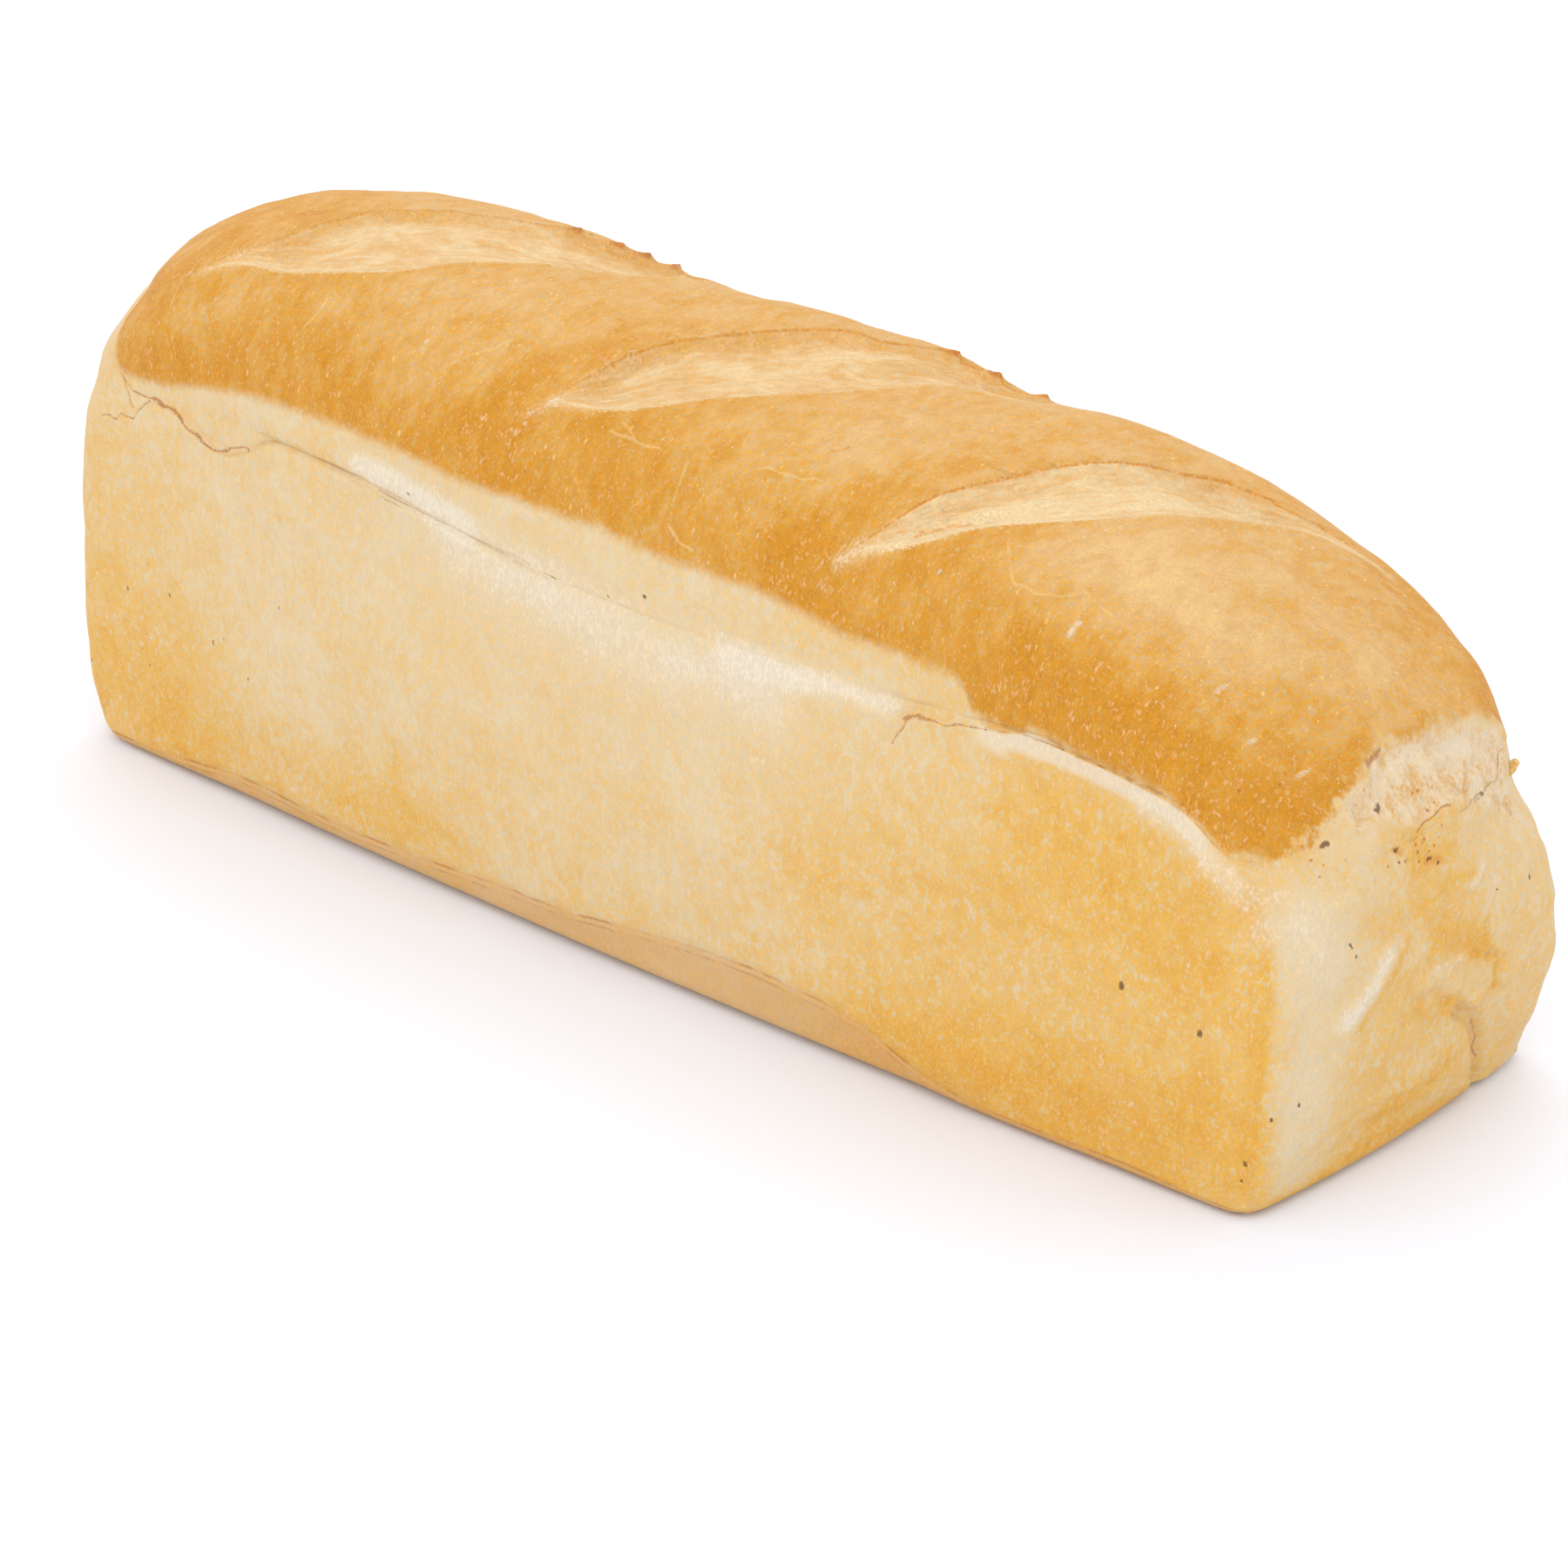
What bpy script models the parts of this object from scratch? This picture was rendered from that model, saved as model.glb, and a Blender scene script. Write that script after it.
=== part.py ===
"""Tin loaf: a long white loaf baked in an open tin.

One closed body. Below the seam it has the tin's flat walls, above it the domed crown that
rose over the tin, with three slanting slashes. X runs along the loaf, Y across it and Z up.
The loaf stands on Z = 0, centred on the origin.
"""
import math
from dataclasses import dataclass

import bmesh
import bpy
from mathutils import Vector

MM = 0.001

# Cells of the gridded block that is carried to the loaf's shape
LENGTH_CELLS = 64
WIDTH_CELLS = 18
BASE_EDGE_ROWS = 2
WALL_ROWS = 7
FLANK_ROWS = 6

# Tin zone, in millimetres, from the widest point of the loaf's spine
LEFT_LENGTH = 191.0
RIGHT_LENGTH = 198.0
BASE_HALF_WIDTH = 54.0
RIM_HALF_WIDTH = 53.5
LEFT_TAPER = 4.6
RIGHT_TAPER = 3.2
BASE_EDGE = 5.0
BASE_CORNER_RADIUS = 7.0
RIM_CORNER_RADIUS = 30.0
LEFT_CORNER_CUT = 8.0
LEFT_CORNER_CUT_HEIGHT = 17.0
FRONT_BULGE = 7.5
BACK_BULGE = 4.5
LEFT_END_BULGE = 3.0
RIGHT_END_BULGE = 6.0
SIDE_BULGE_POWER = 8
END_BULGE_POWER = 14
BACK_LOBE = 7.0
BACK_LOBE_ACROSS = (0.85, 0.4)
BACK_LOBE_UP = (0.55, 0.3)

# Seam between the tin's wall and the crown
SEAM_HEIGHT = 106.4
SEAM_SAG = 7.7
SEAM_TILT = -7.9
SEAM_END_DROP = 18.5
SEAM_END_POWER = 14
SEAM_STEP = 1.6
SEAM_HUMPS = [  # height in millimetres, place and reach along the loaf
    (1.5, -0.5, 0.2),
    (-2.2, 0.02, 0.22),
    (3.0, 0.66, 0.16),
]

# Crown above the seam
CROWN_HEIGHT = 46.2
CROWN_WIDTH_POWER = 0.73
CROWN_HEIGHT_POWER = 0.85
CROWN_SIDE_SWELL = 0.7
CROWN_END_SWELL = 0.6
CROWN_CORNER_RADIUS = 60.0
CROWN_ROUNDING_SHARE = 0.4
LEFT_SLOPE = 87.5
LEFT_SLOPE_POWER = 0.63
RIGHT_SLOPE = 143.5
RIGHT_SLOPE_POWER = 1.21
LEFT_FALL = 0.34
RIGHT_FALL = 0.20
SADDLE_DEPTH = 2.6
SADDLE_PLACE = -18.0
SADDLE_REACH = 26.0

# Slashes across the crown
SLASH_DEPTH = 3.4
OPENING_POWER = 0.9
EAR_HEIGHT = 2.6
EAR_REACH = 9.0
EAR_EDGE = 0.86

# Torn hollow under the crown at the right end
TEAR_DEPTH = 3.5
TEAR_PLACE = (201.0, 12.0, 84.0)
TEAR_REACH = (14.0, 26.0, 11.0)


@dataclass
class PlanLoop:
    """A rounded rectangle seen from above, in millimetres."""

    left: float
    right: float
    half_width: float
    corner: float


@dataclass
class Slash:
    """A baker's cut across the crown, seen from above, in millimetres.

    Each edge bows away from the chord between the ends. A lean over 1 moves the bow's widest
    place towards the end, under 1 towards the start.
    """

    start: tuple
    end: tuple
    far_bow: float
    near_bow: float
    far_lean: float = 1.0
    near_lean: float = 1.0


SLASHES = [
    Slash(start=(-144.5, -40.0), end=(-37.0, 25.0), far_bow=24.5, near_bow=11.5, near_lean=0.7),
    Slash(start=(-20.5, -42.5), end=(79.0, 33.0), far_bow=28.0, near_bow=7.5),
    Slash(start=(76.5, -49.3), end=(159.0, 38.5), far_bow=11.0, near_bow=11.5, far_lean=1.35, near_lean=0.65),
]


def bump(value, centre, reach):
    """Smooth hump of height 1 at the centre."""
    return math.exp(-((value - centre) / reach) ** 2)


def end_share(x):
    """Place along the loaf, from -1 at the left end to 1 at the right end."""
    half = (LEFT_LENGTH + LEFT_TAPER + RIGHT_LENGTH + RIGHT_TAPER) / 2
    return max(-1.0, min(1.0, x / half))


def seam_height(x):
    """Height of the seam, which sags along the loaf and drops at its ends."""
    along = end_share(x)
    height = SEAM_HEIGHT - SEAM_SAG * (1 - along ** 2) + SEAM_TILT * along
    height += sum(hump * bump(along, place, reach) for hump, place, reach in SEAM_HUMPS)
    return height - SEAM_END_DROP * abs(along) ** SEAM_END_POWER


def arc_point(centre, radius, angle):
    """Point on a circle in plan."""
    return centre[0] + radius * math.cos(angle), centre[1] + radius * math.sin(angle)


def side_point(loop, side, share):
    """Point at a share of one side, from the middle of one corner to the middle of the next.

    Sides 0 to 3 are the front, the right end, the back and the left end.
    """
    radius = max(min(loop.corner, loop.half_width - 0.001), 0.001)
    corners = [
        (-loop.left + radius, -loop.half_width + radius),
        (loop.right - radius, -loop.half_width + radius),
        (loop.right - radius, loop.half_width - radius),
        (-loop.left + radius, loop.half_width - radius),
    ]
    start = corners[side]
    end = corners[(side + 1) % 4]
    facing = math.pi / 2 * (side - 1)
    half_arc = radius * math.pi / 4
    straight = math.dist(start, end)
    travelled = share * (straight + 2 * half_arc)
    if travelled < half_arc:
        return arc_point(start, radius, facing - math.pi / 4 + travelled / radius)
    if travelled > half_arc + straight:
        return arc_point(end, radius, facing + (travelled - half_arc - straight) / radius)
    along = (travelled - half_arc) / straight if straight > 0 else 0.0
    centre = [a + (b - a) * along for a, b in zip(start, end)]
    return arc_point(centre, radius, facing)


def swell(x, y, half_width, sides, ends):
    """Bulge of the flat sides, by shares of their full bulge: the walls swell most in their middle."""
    along = end_share(x)
    across = max(-1.0, min(1.0, y / max(half_width, 0.001)))
    side_bulge = FRONT_BULGE if y < 0 else BACK_BULGE
    end_bulge = LEFT_END_BULGE if x < 0 else RIGHT_END_BULGE
    push_x = end_bulge * math.copysign(abs(along) ** END_BULGE_POWER, x) * (1 - across ** 2)
    push_y = side_bulge * math.copysign(abs(across) ** SIDE_BULGE_POWER, y) * (1 - along ** 2)
    return x + ends * push_x, y + sides * push_y


def wall_point(height_share, inset, side, share):
    """Point on the tin's walls at a share of the seam's height."""
    left = LEFT_LENGTH + LEFT_TAPER * height_share - inset
    left -= LEFT_CORNER_CUT * max(0.0, 1 - height_share * SEAM_HEIGHT / LEFT_CORNER_CUT_HEIGHT) ** 2
    right = RIGHT_LENGTH + RIGHT_TAPER * height_share - inset
    half_width = BASE_HALF_WIDTH + (RIM_HALF_WIDTH - BASE_HALF_WIDTH) * height_share
    corner = BASE_CORNER_RADIUS + (RIM_CORNER_RADIUS - BASE_CORNER_RADIUS) * height_share ** 3
    loop = PlanLoop(left, right, half_width - inset, corner)
    x, y = side_point(loop, side, share)
    middle = math.sin(math.pi * (0.25 + 0.5 * height_share))
    lobe = BACK_LOBE * max(end_share(x), 0) ** END_BULGE_POWER * bump(y / half_width, *BACK_LOBE_ACROSS)
    x_out, y_out = swell(x, y, half_width, middle, middle)
    x_out += lobe * bump(height_share, *BACK_LOBE_UP)
    return Vector((x_out, y_out, height_share * seam_height(x)))


def crown_point(rise, side, share):
    """Point on the crown; rise runs from 0 at the seam to 1 along the crown's spine."""
    cosine = max(math.cos(rise * math.pi / 2), 0.0)
    sine = math.sin(rise * math.pi / 2)
    left = LEFT_LENGTH + LEFT_TAPER - LEFT_SLOPE * (1 - cosine ** LEFT_SLOPE_POWER)
    right = RIGHT_LENGTH + RIGHT_TAPER - SEAM_STEP - RIGHT_SLOPE * (1 - cosine ** RIGHT_SLOPE_POWER)
    half_width = max((RIM_HALF_WIDTH - SEAM_STEP) * cosine ** CROWN_WIDTH_POWER, 0.02)
    rounding = min(1.0, rise / CROWN_ROUNDING_SHARE)
    corner = RIM_CORNER_RADIUS + (CROWN_CORNER_RADIUS - RIM_CORNER_RADIUS) * rounding
    x, y = side_point(PlanLoop(left, right, half_width, corner), side, share)
    fall = (LEFT_FALL if x < 0 else RIGHT_FALL) * end_share(x) ** 2
    x_out, y_out = swell(x, y, half_width, CROWN_SIDE_SWELL * cosine, CROWN_END_SWELL * cosine)
    height = seam_height(x) + CROWN_HEIGHT * sine ** CROWN_HEIGHT_POWER * (1 - fall)
    return Vector((x_out, y_out, height))


def slash_relief(slash, x, y):
    """Height that one slash adds to the crown: its floor is hollow and its far lip stands up."""
    chord = Vector((slash.end[0] - slash.start[0], slash.end[1] - slash.start[1]))
    to_point = Vector((x - slash.start[0], y - slash.start[1]))
    along = to_point.dot(chord) / chord.length_squared
    if not 0.0 < along < 1.0:
        return 0.0
    across = chord.cross(to_point) / chord.length
    opening = math.sin(math.pi * along) ** OPENING_POWER
    far = slash.far_bow * math.sin(math.pi * along ** slash.far_lean) ** OPENING_POWER
    near = -slash.near_bow * math.sin(math.pi * along ** slash.near_lean) ** OPENING_POWER
    place = (across - near) / (far - near)
    if place <= 0.0:
        return 0.0
    if place <= EAR_EDGE:
        return -SLASH_DEPTH * opening * math.sin(place / EAR_EDGE * math.pi / 2)
    if place <= 1.0:
        lift = (place - EAR_EDGE) / (1.0 - EAR_EDGE)
        return opening * (-SLASH_DEPTH + (SLASH_DEPTH + EAR_HEIGHT) * lift)
    return EAR_HEIGHT * opening * math.exp(-(across - far) / EAR_REACH)


def add_relief(point):
    """Push a point of the crown in or out, away from the loaf's middle line."""
    height = sum(slash_relief(slash, point.x, point.y) for slash in SLASHES)
    height -= SADDLE_DEPTH * bump(point.x, SADDLE_PLACE, SADDLE_REACH)
    outward = Vector((0.0, point.y, point.z - seam_height(point.x) + RIM_HALF_WIDTH / 4)).normalized()
    tear = TEAR_DEPTH
    for value, centre, reach in zip(point, TEAR_PLACE, TEAR_REACH):
        tear *= bump(value, centre, reach)
    return point + outward * height - Vector((tear, 0.0, 0.0))


def base_point(shrink, side, share):
    """Point on the flat base; shrink runs from 0 at its edge to 1 along its middle line."""
    edge = wall_point(0.0, BASE_EDGE, side, share)
    left = LEFT_LENGTH - LEFT_CORNER_CUT - BASE_EDGE
    right = RIGHT_LENGTH - BASE_EDGE
    reach = BASE_HALF_WIDTH - BASE_EDGE
    spine_x = max(-left + reach, min(right - reach, edge.x))
    return Vector((edge.x + (spine_x - edge.x) * shrink, edge.y * (1 - shrink), 0.0))


def ring_place(i, j, inner):
    """Side and share of a grid place on the ring that lies a number of cells inside the edge."""
    last_i = LENGTH_CELLS - inner
    last_j = WIDTH_CELLS - inner
    if j == inner:
        return 0, (i - inner) / (last_i - inner)
    if i == last_i:
        return 1, (j - inner) / (last_j - inner)
    if j == last_j:
        return 2, (last_i - i) / (last_i - inner)
    return 3, (last_j - j) / (last_j - inner)


def loaf_point(i, j, k):
    """Place on the loaf of one corner of the gridded block."""
    side_rows = BASE_EDGE_ROWS + WALL_ROWS + 1 + FLANK_ROWS
    top_rings = WIDTH_CELLS // 2
    inner = min(i, LENGTH_CELLS - i, j, WIDTH_CELLS - j)
    side, share = ring_place(i, j, inner)
    if k == 0:
        return base_point(inner / top_rings, side, share)
    if k <= BASE_EDGE_ROWS:
        angle = math.pi / 2 * k / BASE_EDGE_ROWS
        rise = BASE_EDGE * (1 - math.cos(angle)) / SEAM_HEIGHT
        return wall_point(rise, BASE_EDGE * (1 - math.sin(angle)), side, share)
    if k <= BASE_EDGE_ROWS + WALL_ROWS:
        start = BASE_EDGE / SEAM_HEIGHT
        rise = start + (1 - start) * (k - BASE_EDGE_ROWS) / WALL_ROWS
        return wall_point(rise, 0.0, side, share)
    flank = k - BASE_EDGE_ROWS - WALL_ROWS - 1 + inner
    return add_relief(crown_point(flank / (FLANK_ROWS + top_rings), side, share))


def gridded_block():
    """A block of two units, cut into the grid's cells along each axis."""
    mesh = bmesh.new()
    bmesh.ops.create_cube(mesh, size=2.0)
    cells = (LENGTH_CELLS, WIDTH_CELLS, BASE_EDGE_ROWS + WALL_ROWS + 1 + FLANK_ROWS)
    for axis, count in enumerate(cells):
        others = [other for other in range(3) if other != axis]
        parallel = [
            edge for edge in mesh.edges
            if all(abs(edge.verts[0].co[other] - edge.verts[1].co[other]) < 1e-6 for other in others)
        ]
        bmesh.ops.subdivide_edges(mesh, edges=parallel, cuts=count - 1, use_grid_fill=True)
    return mesh, cells


def shape_loaf(mesh, cells):
    """Carry each corner of the block to its place on the loaf."""
    for vertex in mesh.verts:
        place = [round((vertex.co[axis] + 1) / 2 * cells[axis]) for axis in range(3)]
        vertex.co = loaf_point(*place)


def centre_on_origin(mesh):
    """Move the loaf so that its box is centred on the origin and stands on Z = 0."""
    lows = [min(vertex.co[axis] for vertex in mesh.verts) for axis in range(3)]
    highs = [max(vertex.co[axis] for vertex in mesh.verts) for axis in range(3)]
    shift = Vector(((lows[0] + highs[0]) / 2, (lows[1] + highs[1]) / 2, lows[2]))
    for vertex in mesh.verts:
        vertex.co = (vertex.co - shift) * MM


def crust_material():
    """Golden baked crust."""
    material = bpy.data.materials.new("crust")
    material.use_nodes = True
    shader = material.node_tree.nodes["Principled BSDF"]
    shader.inputs["Base Color"].default_value = (0.72, 0.42, 0.13, 1.0)
    shader.inputs["Roughness"].default_value = 0.6
    shader.inputs["Metallic"].default_value = 0.0
    return material


def build_loaf():
    """Make the loaf as one closed object."""
    mesh, cells = gridded_block()
    shape_loaf(mesh, cells)
    centre_on_origin(mesh)
    bmesh.ops.triangulate(mesh, faces=mesh.faces)
    bmesh.ops.recalc_face_normals(mesh, faces=mesh.faces)
    data = bpy.data.meshes.new("loaf")
    mesh.to_mesh(data)
    mesh.free()
    data.shade_smooth()
    data.materials.append(crust_material())
    loaf = bpy.data.objects.new("loaf", data)
    bpy.context.scene.collection.objects.link(loaf)
    return loaf


def main():
    """Empty the scene and build the loaf."""
    for thing in list(bpy.data.objects):
        bpy.data.objects.remove(thing)
    build_loaf()


main()
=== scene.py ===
"""Tin loaf: the finished look of a long white loaf baked in an open tin.

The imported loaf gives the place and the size. Around it this script models the crust as one fine
closed skin, with its seam, slashes, folds and cracks, adds the small torn flake of crust at its
back corner, and lights it on a plain pale floor.
"""
import logging
import math
from dataclasses import dataclass, field
from enum import Enum
from typing import Sequence, Union

import bpy
import numpy as np
from mathutils import Euler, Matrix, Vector


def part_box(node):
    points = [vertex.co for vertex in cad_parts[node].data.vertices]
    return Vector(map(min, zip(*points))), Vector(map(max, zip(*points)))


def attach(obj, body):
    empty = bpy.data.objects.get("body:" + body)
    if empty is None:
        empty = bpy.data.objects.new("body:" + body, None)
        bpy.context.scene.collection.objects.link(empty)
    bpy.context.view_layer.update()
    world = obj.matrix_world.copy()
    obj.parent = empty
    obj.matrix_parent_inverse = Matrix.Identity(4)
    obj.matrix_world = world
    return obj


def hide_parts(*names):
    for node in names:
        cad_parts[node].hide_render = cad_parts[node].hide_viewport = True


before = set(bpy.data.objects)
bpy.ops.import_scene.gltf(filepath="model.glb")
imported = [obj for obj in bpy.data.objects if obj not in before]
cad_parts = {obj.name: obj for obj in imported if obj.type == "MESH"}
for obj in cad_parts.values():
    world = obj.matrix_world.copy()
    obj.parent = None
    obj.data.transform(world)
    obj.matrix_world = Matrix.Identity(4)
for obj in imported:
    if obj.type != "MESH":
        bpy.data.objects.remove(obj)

MM = 0.001
TINY = 0.001  # Millimetres; keeps divisions clear of zero.
NONE = 1e-6  # Anything below it counts as zero.
OUT_OF_SIGHT = 99.0  # Distance given to marks on another side.

Array = np.ndarray
Knots = Sequence[tuple[float, float]]
Triple = tuple[float, float, float]
Route = Sequence[Triple]
EVEN: Triple = (1.0, 1.0, 1.0)
Window = tuple[float, float, float, float]

log = logging.getLogger("tin_loaf")


# ---------------------------------------------------------------- shared arithmetic


def ease(value: Array, low: float, high: float) -> Array:
    """Smooth step of values, from 0 at the low one to 1 at the high one."""
    share = np.clip((value - low) / (high - low), 0.0, 1.0)
    return share * share * (3.0 - 2.0 * share)


def between(value: Array, start: float, full: float, falling: float, end: float) -> Array:
    """Smooth share that rises from 0 to 1 and falls back to 0."""
    return ease(value, start, full) * (1 - ease(value, falling, end))


def hump(value: Array, centre: float = 0.0, reach: float = 1.0) -> Array:
    """Smooth hump of height 1 at the centre, which falls to about a third at its reach."""
    return np.exp(-(((value - centre) / reach) ** 2))


def follow(knots: Knots, at: Array) -> Array:
    """Read a smooth line through knots.

    Args:
        knots: (place, value) pairs in rising order of place.
        at: Places to read; beyond the ends the end values hold.

    Returns:
        The line's values.
    """
    places, values = np.array(knots, float).T
    slopes = np.gradient(values, places)
    inside = np.clip(at, places[0], places[-1])
    cell = np.clip(np.searchsorted(places, inside) - 1, 0, len(places) - 2)
    gap = places[cell + 1] - places[cell]
    t = (inside - places[cell]) / gap
    start = (1 + 2 * t) * (1 - t) ** 2 * values[cell] + t * (1 - t) ** 2 * gap * slopes[cell]
    end = t * t * (3 - 2 * t) * values[cell + 1] + t * t * (t - 1) * gap * slopes[cell + 1]
    return start + end


def off_route(points: Array, route: Route) -> Array:
    """Distance to a bent line.

    Args:
        points: Places, one row each.
        route: Corners of the line.

    Returns:
        Distances to the nearest place on the line.
    """
    corners = np.array(route, float)
    nearest = np.full(len(points), np.inf)
    for start, end in zip(corners[:-1], corners[1:]):
        run = end - start
        share = np.clip((points - start) @ run / (run @ run), 0.0, 1.0)
        nearest = np.minimum(nearest, np.linalg.norm(points - start - share[:, None] * run, axis=1))
    return nearest


@dataclass(frozen=True)
class Ripple:
    """Random smooth unevenness of about unit strength, the same on each run."""

    size: float
    seed: int
    stretch: Triple = EVEN
    waves: int = 32

    def at(self, points: Array) -> Array:
        """Read the unevenness.

        Args:
            points: Places in millimetres, one row each.

        Returns:
            Values around 0.
        """
        rng = np.random.default_rng(self.seed)
        ways = rng.normal(size=(self.waves, 3))
        ways /= np.linalg.norm(ways, axis=1)[:, None]
        ways *= 2 * math.pi / (self.size * rng.uniform(0.7, 1.5, (self.waves, 1)))
        phases = rng.uniform(0, 2 * math.pi, self.waves)
        crests = np.sin((points / np.array(self.stretch)) @ ways.T + phases)
        return crests.sum(axis=1) * math.sqrt(2 / self.waves)


Layers = Sequence[tuple[float, Ripple]]


def roughened(points: Array, layers: Layers) -> Array:
    """Lift of some ripples together, each of them given with its strength in millimetres."""
    return sum(lift * ripple.at(points) for lift, ripple in layers)


# ---------------------------------------------------------------- the loaf's form


class Side(Enum):
    """The four sides of the loaf, in the order of a walk round it."""

    FRONT = 0
    RIGHT = 1
    BACK = 2
    LEFT = 3


@dataclass(frozen=True)
class RimLine:
    """A line round the loaf: its height along each side.

    The front and back are read along the loaf, the two ends across it.
    """

    front: Knots
    right: Knots
    back: Knots
    left: Knots

    def height(self, points: Array, side: Array) -> Array:
        """Read the line.

        Args:
            points: Places on the loaf, one row each.
            side: The number of the side that each place is on.

        Returns:
            The line's height at each place.
        """
        heights = np.zeros(len(points))
        for number, line in enumerate((self.front, self.right, self.back, self.left)):
            there = side == number
            heights[there] = follow(line, points[there, number % 2])
        return heights


@dataclass(frozen=True)
class Rows:
    """How many rows of the block go to each zone of the loaf's sides."""

    edge: int = 3
    wall: int = 42
    band: int = 6
    flank: int = 18

    @property
    def total(self) -> int:
        """All rows from the base to the top of the sides."""
        return self.edge + self.wall + self.band + self.flank


@dataclass
class LoafForm:
    """The loaf's form, in millimetres: the tin's walls below, the domed crown above."""

    rows: Rows = field(default_factory=Rows)
    rings: int = 25
    left_length: float = 191.0
    right_length: float = 198.0
    base_half_width: float = 54.0
    rim_half_width: float = 53.5
    left_taper: float = 4.6
    right_taper: float = 3.2
    base_edge: float = 3.5
    base_corner: float = 7.0
    rim_corner: float = 30.0
    left_cut: float = 8.0
    left_cut_height: float = 17.0
    bulges: tuple[float, float, float, float] = (7.5, 6.0, 4.5, 3.0)
    side_power: int = 8
    end_power: int = 14
    back_lobe: float = 5.8
    lobe_across: tuple[float, float] = (0.85, 0.4)
    lobe_up: tuple[float, float] = (0.55, 0.3)
    seam_base: float = 106.4
    seam_sag: float = 7.7
    seam_tilt: float = -7.9
    seam_drop: float = 18.5
    seam_step: float = 1.1
    sharp_step: tuple[float, float] = (-1.2, 0.8)
    soft_step: tuple[float, float] = (-2.0, 6.0)
    seam_humps: tuple = ((1.5, -0.5, 0.2), (-2.2, 0.02, 0.22), (3.0, 0.66, 0.16))
    crown_height: float = 46.2
    width_power: float = 0.73
    height_power: float = 0.85
    side_swell: float = 0.7
    end_swell: float = 0.7
    crown_corner: float = 60.0
    rounding: float = 0.4
    left_slope: tuple[float, float] = (87.5, 0.63)
    right_slope: tuple[float, float] = (143.5, 1.21)
    falls: tuple[float, float] = (0.34, 0.20)

    def end_share(self, x: Array) -> Array:
        """Place along the loaf, from -1 at the left end to 1 at the right end."""
        half = (self.left_length + self.left_taper + self.right_length + self.right_taper) / 2
        return np.clip(x / half, -1.0, 1.0)

    def seam_height(self, x: Array) -> Array:
        """Height at which the walls turn into the crown."""
        along = self.end_share(x)
        height = self.seam_base - self.seam_sag * (1 - along**2) + self.seam_tilt * along
        for rise, place, reach in self.seam_humps:
            height = height + rise * hump(along, place, reach)
        return height - self.seam_drop * np.abs(along) ** self.end_power

    def side_point(self, left: Array, right: Array, half_width: Array, corner: Array, side: Array,
                   share: Array) -> tuple[Array, Array]:
        """Points on rounded rectangles seen from above.

        Args:
            left: Reach of each rectangle to the left.
            right: Its reach to the right.
            half_width: Half its width.
            corner: Radius of its corners.
            side: Number of the side that the point is on.
            share: Share of that side, from the middle of one corner to the middle of the next.

        Returns:
            The points' places along and across the loaf.
        """
        radius = np.maximum(np.minimum(corner, half_width - TINY), TINY)
        along = np.stack([radius - left, right - radius, right - radius, radius - left])
        back = half_width - radius
        across = np.stack([-back, -back, back, back])
        each = np.arange(len(side))
        start_x, start_y = along[side, each], across[side, each]
        end_x, end_y = along[(side + 1) % 4, each], across[(side + 1) % 4, each]
        half_arc = radius * math.pi / 4
        straight = np.hypot(end_x - start_x, end_y - start_y)
        travelled = share * (straight + 2 * half_arc) - half_arc
        run = np.clip(travelled / np.maximum(straight, 1e-9), 0.0, 1.0)
        turn = (np.minimum(travelled, 0.0) + np.maximum(travelled - straight, 0.0)) / radius
        facing = math.pi / 2 * (side - 1) + turn
        x = start_x + (end_x - start_x) * run + radius * np.cos(facing)
        y = start_y + (end_y - start_y) * run + radius * np.sin(facing)
        return x, y

    def swell(self, x: Array, y: Array, half_width: Array, sides: Array,
              ends: Array) -> tuple[Array, Array]:
        """Bulge of the flat sides.

        Args:
            x: Places along the loaf.
            y: Places across it.
            half_width: Half the loaf's width there.
            sides: Share of the full bulge that the long sides take.
            ends: Share of the full bulge that the ends take.

        Returns:
            The bulged places along and across the loaf.
        """
        front, right, back, left = self.bulges
        along = self.end_share(x)
        across = np.clip(y / np.maximum(half_width, TINY), -1.0, 1.0)
        end_bulge = np.where(x < 0, -left, right)
        side_bulge = np.where(y < 0, -front, back)
        push_x = end_bulge * np.abs(along) ** self.end_power * (1 - across**2)
        push_y = side_bulge * np.abs(across) ** self.side_power * (1 - along**2)
        return x + ends * push_x, y + sides * push_y

    def wall(self, up: Array, inset: Array, side: Array, share: Array) -> Array:
        """Points on the tin's walls.

        Args:
            up: Share of the seam's height.
            inset: How far the wall stands in.
            side: Number of the side.
            share: Share of that side.

        Returns:
            The points, one row each.
        """
        cut = np.maximum(0.0, 1 - up * self.seam_base / self.left_cut_height) ** 2
        left = self.left_length + self.left_taper * up - inset - self.left_cut * cut
        right = self.right_length + self.right_taper * up - inset
        half_width = self.base_half_width + (self.rim_half_width - self.base_half_width) * up
        corner = self.base_corner + (self.rim_corner - self.base_corner) * up**3
        x, y = self.side_point(left, right, half_width - inset, corner, side, share)
        middle = np.sin(math.pi * (0.25 + 0.5 * up))
        lobe = self.back_lobe * np.maximum(self.end_share(x), 0) ** self.end_power
        lobe = lobe * hump(y / half_width, *self.lobe_across) * hump(up, *self.lobe_up)
        lobe = lobe * (1 - ease(up, 0.8, 1.0))
        x_out, y_out = self.swell(x, y, half_width, middle, middle)
        return np.stack([x_out + lobe, y_out, up * self.seam_height(x)], axis=1)

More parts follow.
